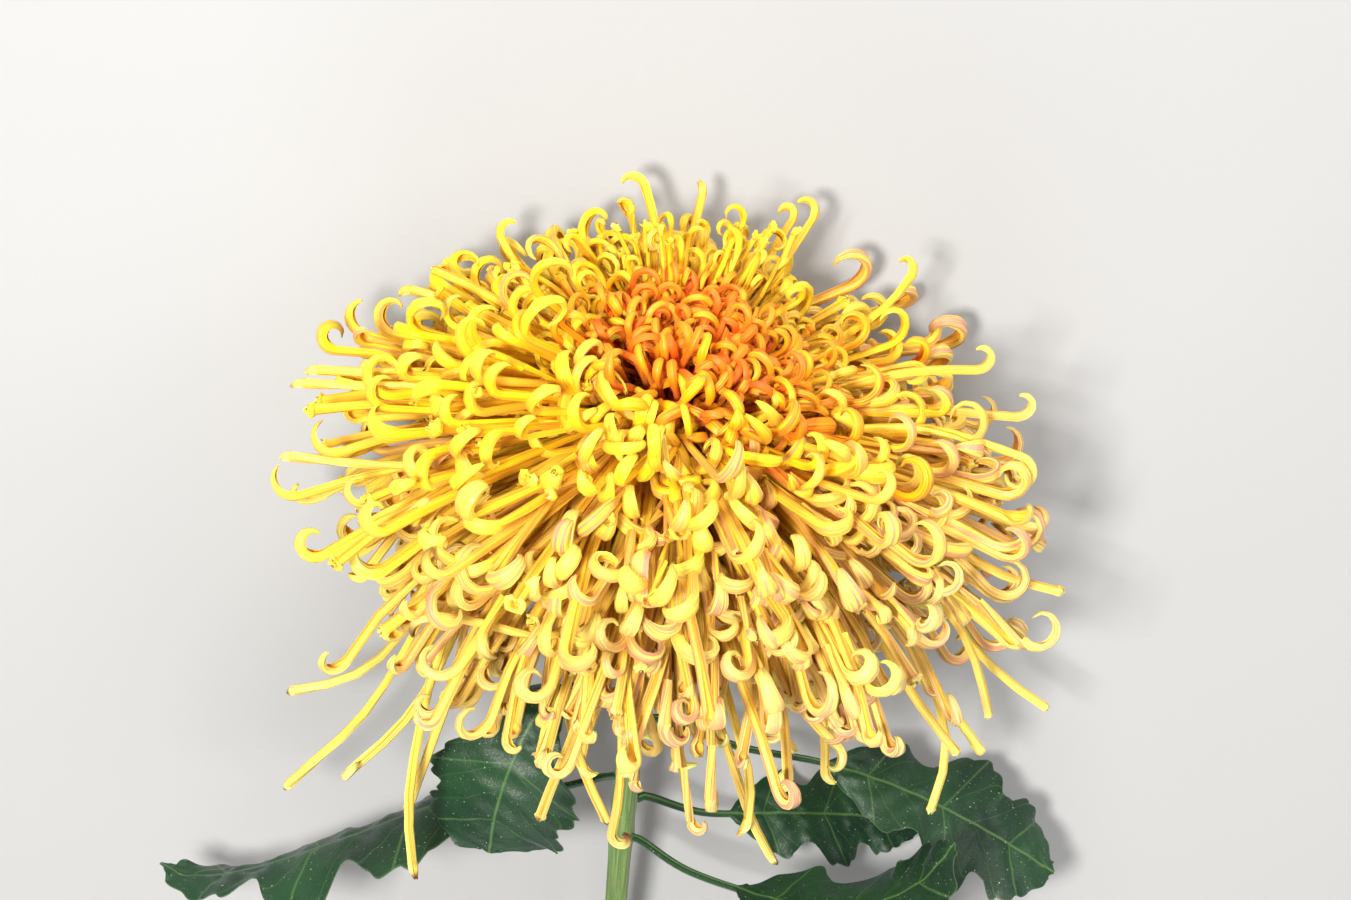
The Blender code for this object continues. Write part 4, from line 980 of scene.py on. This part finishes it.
def floret_rows(florets, plan, rings):
    """The skin of each floret: a trough-shaped section carried along its line.

    The outer wall is an ellipse from one lip of the opening round the back to the other, waved by low ribs.
    The inner wall runs back inside it. In the tube the lips nearly meet and the inner wall is only a groove;
    in the scoop they part and the wall is thin. The section turns with the roll, so the opening faces the
    inside of the curl. The end is toothed, and its last ring runs back in as a small hollow. The stage is 0
    at the root, 1 where the hook begins and 2 at the tip."""
    place, along, upper = (florets[:, rings, k] for k in range(3))
    stage = np.where(rings <= QUILL_STEPS, rings / QUILL_STEPS, 1 + (rings - QUILL_STEPS) / CURL_STEPS)
    width, scoop, opened, mouth = (plan[name][:, None] for name in ("width", "scoop", "opened", "mouth"))
    turn = np.clip((stage - 0.55) / 0.6, 0, 1)
    turn = plan["roll"][:, None] * (turn**2 * (3 - 2 * turn))
    side = np.cross(along, upper)
    up = upper * np.cos(turn)[..., None] + side * np.sin(turn)[..., None]
    side = np.cross(along, up)
    tube = np.interp(stage, (0, 0.3, 0.8, 1.1, 1.5, 1.8, 1.93, 2),
                     (0.85, 1.3, 1.5, 1.55, 1.5, 1.1, 0.8, 0.55))
    flare = np.interp(stage, (0.75, 1.0, 1.25, 1.5, 1.75, 1.9, 2), (0, 0.3, 0.95, 1.0, 0.55, 0.2, 0))
    trumpet = np.interp(stage, (1.3, 1.85, 2), (0, 0.5, 1.25))
    half = MM * (tube * width + flare * scoop + trumpet * mouth)
    hollow = np.where(np.arange(len(rings)) < len(rings) - 1, 1, 0.5)
    half = half * hollow
    bloomed = np.interp(stage, (0.85, 1.3, 2), (0, 1, 1)) * np.clip(scoop, 0, 1) * (1 - mouth)
    deep = half * (0.88 - 0.26 * bloomed)
    lip = (0.22 + bloomed * (0.15 + 0.85 * opened))[..., None]
    thin = np.clip(bloomed * 1.4, 0, 1)[..., None]
    angle = lip + (2 * np.pi - 2 * lip) * np.linspace(0, 1, 9)
    back = lip + (2 * np.pi - 2 * lip) * np.linspace(1, 0, 5)[1:-1]
    ribs = 1 + 0.09 * np.cos(4 * angle + 9 * width[..., None])
    wall = 1 - 0.30 * MM / half[..., None]
    x_out, y_out = np.sin(angle) * ribs, np.cos(angle) * ribs
    x_flat, y_flat = np.sin(lip) * np.array([-0.7, 0, 0.7]), np.cos(lip) * 0.86
    x_in = x_flat + (np.sin(back) * wall - x_flat) * thin
    y_in = y_flat + (np.cos(back) * wall - y_flat) * thin
    x = np.concatenate([x_out, x_in], axis=-1)
    y = np.concatenate([y_out, y_in], axis=-1)
    toothed = np.clip((stage - 1.9) * 10, 0, 1)[:, None] * (0.5 + 0.6 * mouth[..., None])
    push = MM * np.cos(3 * np.concatenate([angle, back], axis=-1)) * toothed * hollow[:, None] ** 3
    push = push - MM * (0.8 + 2.2 * mouth[..., None]) * (hollow < 1)[:, None]
    rows = (place[:, :, None] + side[:, :, None] * (half[..., None] * x)[..., None]
            + up[:, :, None] * (deep[..., None] * y)[..., None] + along[:, :, None] * push[..., None])
    rows[..., 2] = np.maximum(rows[..., 2], 0)
    around = np.concatenate([np.linspace(-1, 1, 9), np.linspace(1, -1, 5)[1:-1]])
    inside = np.concatenate([np.zeros(9), np.ones(3)])
    inside = np.maximum(inside, (hollow < 1)[:, None])
    return rows, stage, around, inside


def petal_finish(name, root, tube, curl, tip, inner, blush):
    """A petal's skin: its colour changes along it, with fine lines and a pinkish flush on the back. Root,
    tube, curl and tip are pairs: the colour of the coolest floret and that of the warmest. The roots, tubes
    and inner faces are darker and more orange or red than the hooks. This is partly the petals' own colour,
    partly painted shade and a painted glow of light through the petals deep in the bloom. The fine lines
    darken the colour in the bump's grooves, partly as the petal's own veining and partly as painted shade."""
    made, tree = fresh(name)
    stage, around, inside, chance, warm, flush, brown = kept(
        tree, "stage", "around", "inside", "chance", "warm", "flush", "brown")
    lines = use(tree, streaks, Around=around, Along=stage, Seed=chance, Fineness=5.0, Length=0.9)["Mask"]
    spots = use(tree, mottle, Blotch_Scale=55.0, Speck_Scale=2600.0)
    half = worked(tree, "MULTIPLY", stage, 0.5)
    # Painted shade and glow: the ramps run from deeper, more orange or red roots and tubes out to the hooks.
    coolest, warmest = (ramped(tree, half, list(zip((0.10, 0.42, 0.72, 0.97), colours)))
                        for colours in zip(root, tube, curl, tip))
    hue = ranged(tree, chance, 0, 1, 0.492, 0.508)
    light = ranged(tree, spots["Blotches"], 0, 1, 0.92, 1.04)
    base = {"Color": mixed(tree, warm, coolest, warmest), "Hue": hue, "Value": light}
    colour = put(tree, "HueSaturation", base).outputs[0]
    # Painted shade in the grooves: the fine lines darken the colour where the bump sinks them. This is partly
    # the petal's own veining and partly painted shade.
    colour = mixed(tree, worked(tree, "MULTIPLY", lines, 0.46), colour, (1.0, 0.72, 0.42), "MULTIPLY")
    on_hook = ranged(tree, stage, 0.4, 1.15, 0.35)
    flushing = worked(tree, "MULTIPLY", on_hook, flush)
    colour = mixed(tree, worked(tree, "MULTIPLY", lines, flushing), colour, blush)
    # Painted shade: the inner faces take the deeper inner colour. This is partly the petal's own colour and
    # partly shade in the troughs.
    colour = mixed(tree, worked(tree, "MULTIPLY", inside, 0.7), colour, inner)
    end = ranged(tree, stage, 1.45, 1.95, interpolation_type="SMOOTHSTEP")
    colour = mixed(tree, worked(tree, "MULTIPLY", end, brown), colour, (0.16, 0.035, 0.008))
    close(tree, colour, ranged(tree, spots["Grain"], 0, 1, 0.32, 0.48), lines, 0.00024, 0.8,
          {"Specular IOR Level": 0.36, "Sheen Weight": 0.04}, invert=True)
    return made


# The root, tube and inner colours below are darker and more orange or red than the hooks. This is partly the
# petals' own colour, partly painted shade and a painted glow of light through the petals deep in the bloom.
ray_skin = petal_finish(
    "ray_petal",
    root=((1.0, 0.66, 0.04), (1.0, 0.56, 0.006)),
    tube=((0.97, 0.74, 0.12), (1.0, 0.61, 0.006)),
    curl=((0.90, 0.77, 0.26), (1.0, 0.69, 0.02)),
    tip=((0.70, 0.76, 0.20), (0.94, 0.76, 0.06)),
    inner=(0.96, 0.52, 0.02), blush=(0.60, 0.24, 0.17))
heart_skin = petal_finish(
    "heart_petal",
    root=((0.88, 0.24, 0.003), (0.48, 0.025, 0.002)),
    tube=((1.0, 0.43, 0.003), (0.80, 0.10, 0.002)),
    curl=((1.0, 0.52, 0.005), (0.90, 0.20, 0.004)),
    tip=((1.0, 0.64, 0.02), (0.96, 0.36, 0.008)),
    inner=(0.70, 0.09, 0.003), blush=(0.62, 0.10, 0.025))


def make_florets(name, florets, plan, rings, orange=False):
    """One piece of many florets, with each one's own numbers kept at its points."""
    rows, stage, around, inside = floret_rows(florets, plan, rings)
    marks = [("stage", stage[None, :, None]), ("around", around), ("inside", inside[None])]
    marks += [(mark, plan[mark][:, None, None]) for mark in ("chance", "warm", "flush", "brown")]
    piece = skin(name, rows, heart_skin if orange else ray_skin, marks)
    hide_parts("heart_florets" if orange else "ray_florets")


draw = np.random.default_rng(LOOKS_SEED)
total = len(plan["polar"])
degrees = np.degrees(plan["polar"])
right_side = np.cos(plan["azimuth"])
from_heart = away_from(plan, HEART_MIDDLE)
of_summit = np.arange(total) >= total - len(parts[-1][1]["polar"])
plan["chance"] = draw.random(total)
plan["opened"] = draw.random(total) ** 0.8
# Scoops grow from the heart outwards, some are extra wide, and they shrink again under the rim.
scoop = np.where(plan["heart"], 0.30, np.interp(from_heart, (38, 75), (0.42, 1.05)))
usual, extra = draw.random(total), draw.random(total) < np.interp(degrees, (70, 95), (0.10, 0.24))
plan["scoop"] = scoop * (0.55 + 0.6 * usual + 0.9 * extra) * np.interp(degrees, LOW_RIM, (1, 0.55))
plan["mouth"] = plan["straight"] * 0.9
slim = np.where(plan["heart"], 0.64, np.interp(from_heart, (38, 75), (0.68, 1.0)))
plan["width"] = plan["width"] * np.where(of_summit, 0.85, 1) * slim
# Orange and red florets lie round the heart's middle, further out on the right; the summit's stay yellow.
orange = (from_heart + 6 * draw.standard_normal(total) < 50 + 7 * right_side) & ~of_summit
reddest = 1.2 - from_heart / 44 + 0.32 * draw.standard_normal(total)
plan["warm"] = np.where(orange, reddest, (116 - degrees - 10 * right_side) / 44).clip(0, 1)
pink = 0.44 + 0.33 * right_side + (degrees - 80) / 110 + 0.3 * draw.standard_normal(total)
plan["flush"] = pink.clip(0, 0.95)
plan["brown"] = 0.8 * (draw.random(total) < 0.02)
for name, first, last, is_orange in (
        ("heart_petals_inner", 0, 32, True), ("heart_petals_outer", 32, 180, True),
        ("ray_petals_upper", 0, 62, False), ("ray_petals_middle", 62, 81, False),
        ("ray_petals_rim", 81, 97, False), ("ray_petals_lower", 97, 180, False)):
    chosen = (orange == is_orange) & (degrees >= first) & (degrees < last)
    rings = HEART_RINGS if is_orange else RAY_RINGS
    make_florets(name, regular[chosen], chosen_of(plan, chosen), rings, is_orange)

count = len(LONG_FLORETS)
tip_height = np.array([points[-1][1] for points, _ in LONG_FLORETS])
long_plan = {
    "width": np.full(count, 0.95), "roll": np.radians(curl_roll), "scoop": 0.1 + 0.3 * draw.random(count),
    "mouth": 0.35 * ((curl_turn < 60) & (tip_brown < 0.5)), "opened": draw.random(count),
    "chance": draw.random(count), "warm": np.clip(0.25 + tip_height / 90, 0, 0.9),
    "flush": 0.5 * draw.random(count), "brown": tip_brown,
}
make_florets("ray_petals_long", standing, long_plan, LONG_RINGS)
same = {"width": 1.0, "roll": 0.0, "scoop": 0.6, "mouth": 0.0, "opened": 0.4,
        "warm": 0.0, "flush": 0.5, "brown": 0.0}
rest_plan = {name: np.full(len(resting), value) for name, value in same.items()}
rest_plan["chance"] = draw.random(len(resting))
make_florets("ray_petals_resting", resting, rest_plan, LONG_RINGS)


# The receptacle.
# The small fleshy dome that every floret grows from, taller than wide and pitted in spirals where they are
# set. It shows only where the florets part. It is a ball whose radius waves along crossing spirals.
DOME_RADIUS = 13.5 * MM
DOME_HEIGHT = 1.45
down = np.linspace(0, np.pi, 26)[:, None]
angle = np.linspace(0, 2 * np.pi, 44, endpoint=False)
knobs = 1 + 0.03 * np.cos(13 * angle + 8 * down) * np.sin(down) * np.cos(21 * angle - 8 * down)
ball = DOME_RADIUS * np.stack([np.sin(down) * knobs * np.cos(angle), np.sin(down) * knobs * np.sin(angle),
                               -np.cos(down) * knobs], axis=-1)
ball = ball[1:-1] * (1, 1, DOME_HEIGHT)
dome = (laid(ball) + RECEPTACLE)[None]
receptacle = skin("receptacle_dome", dome, bract_green, (("edge", 0.3), ("chance", 0.2)))
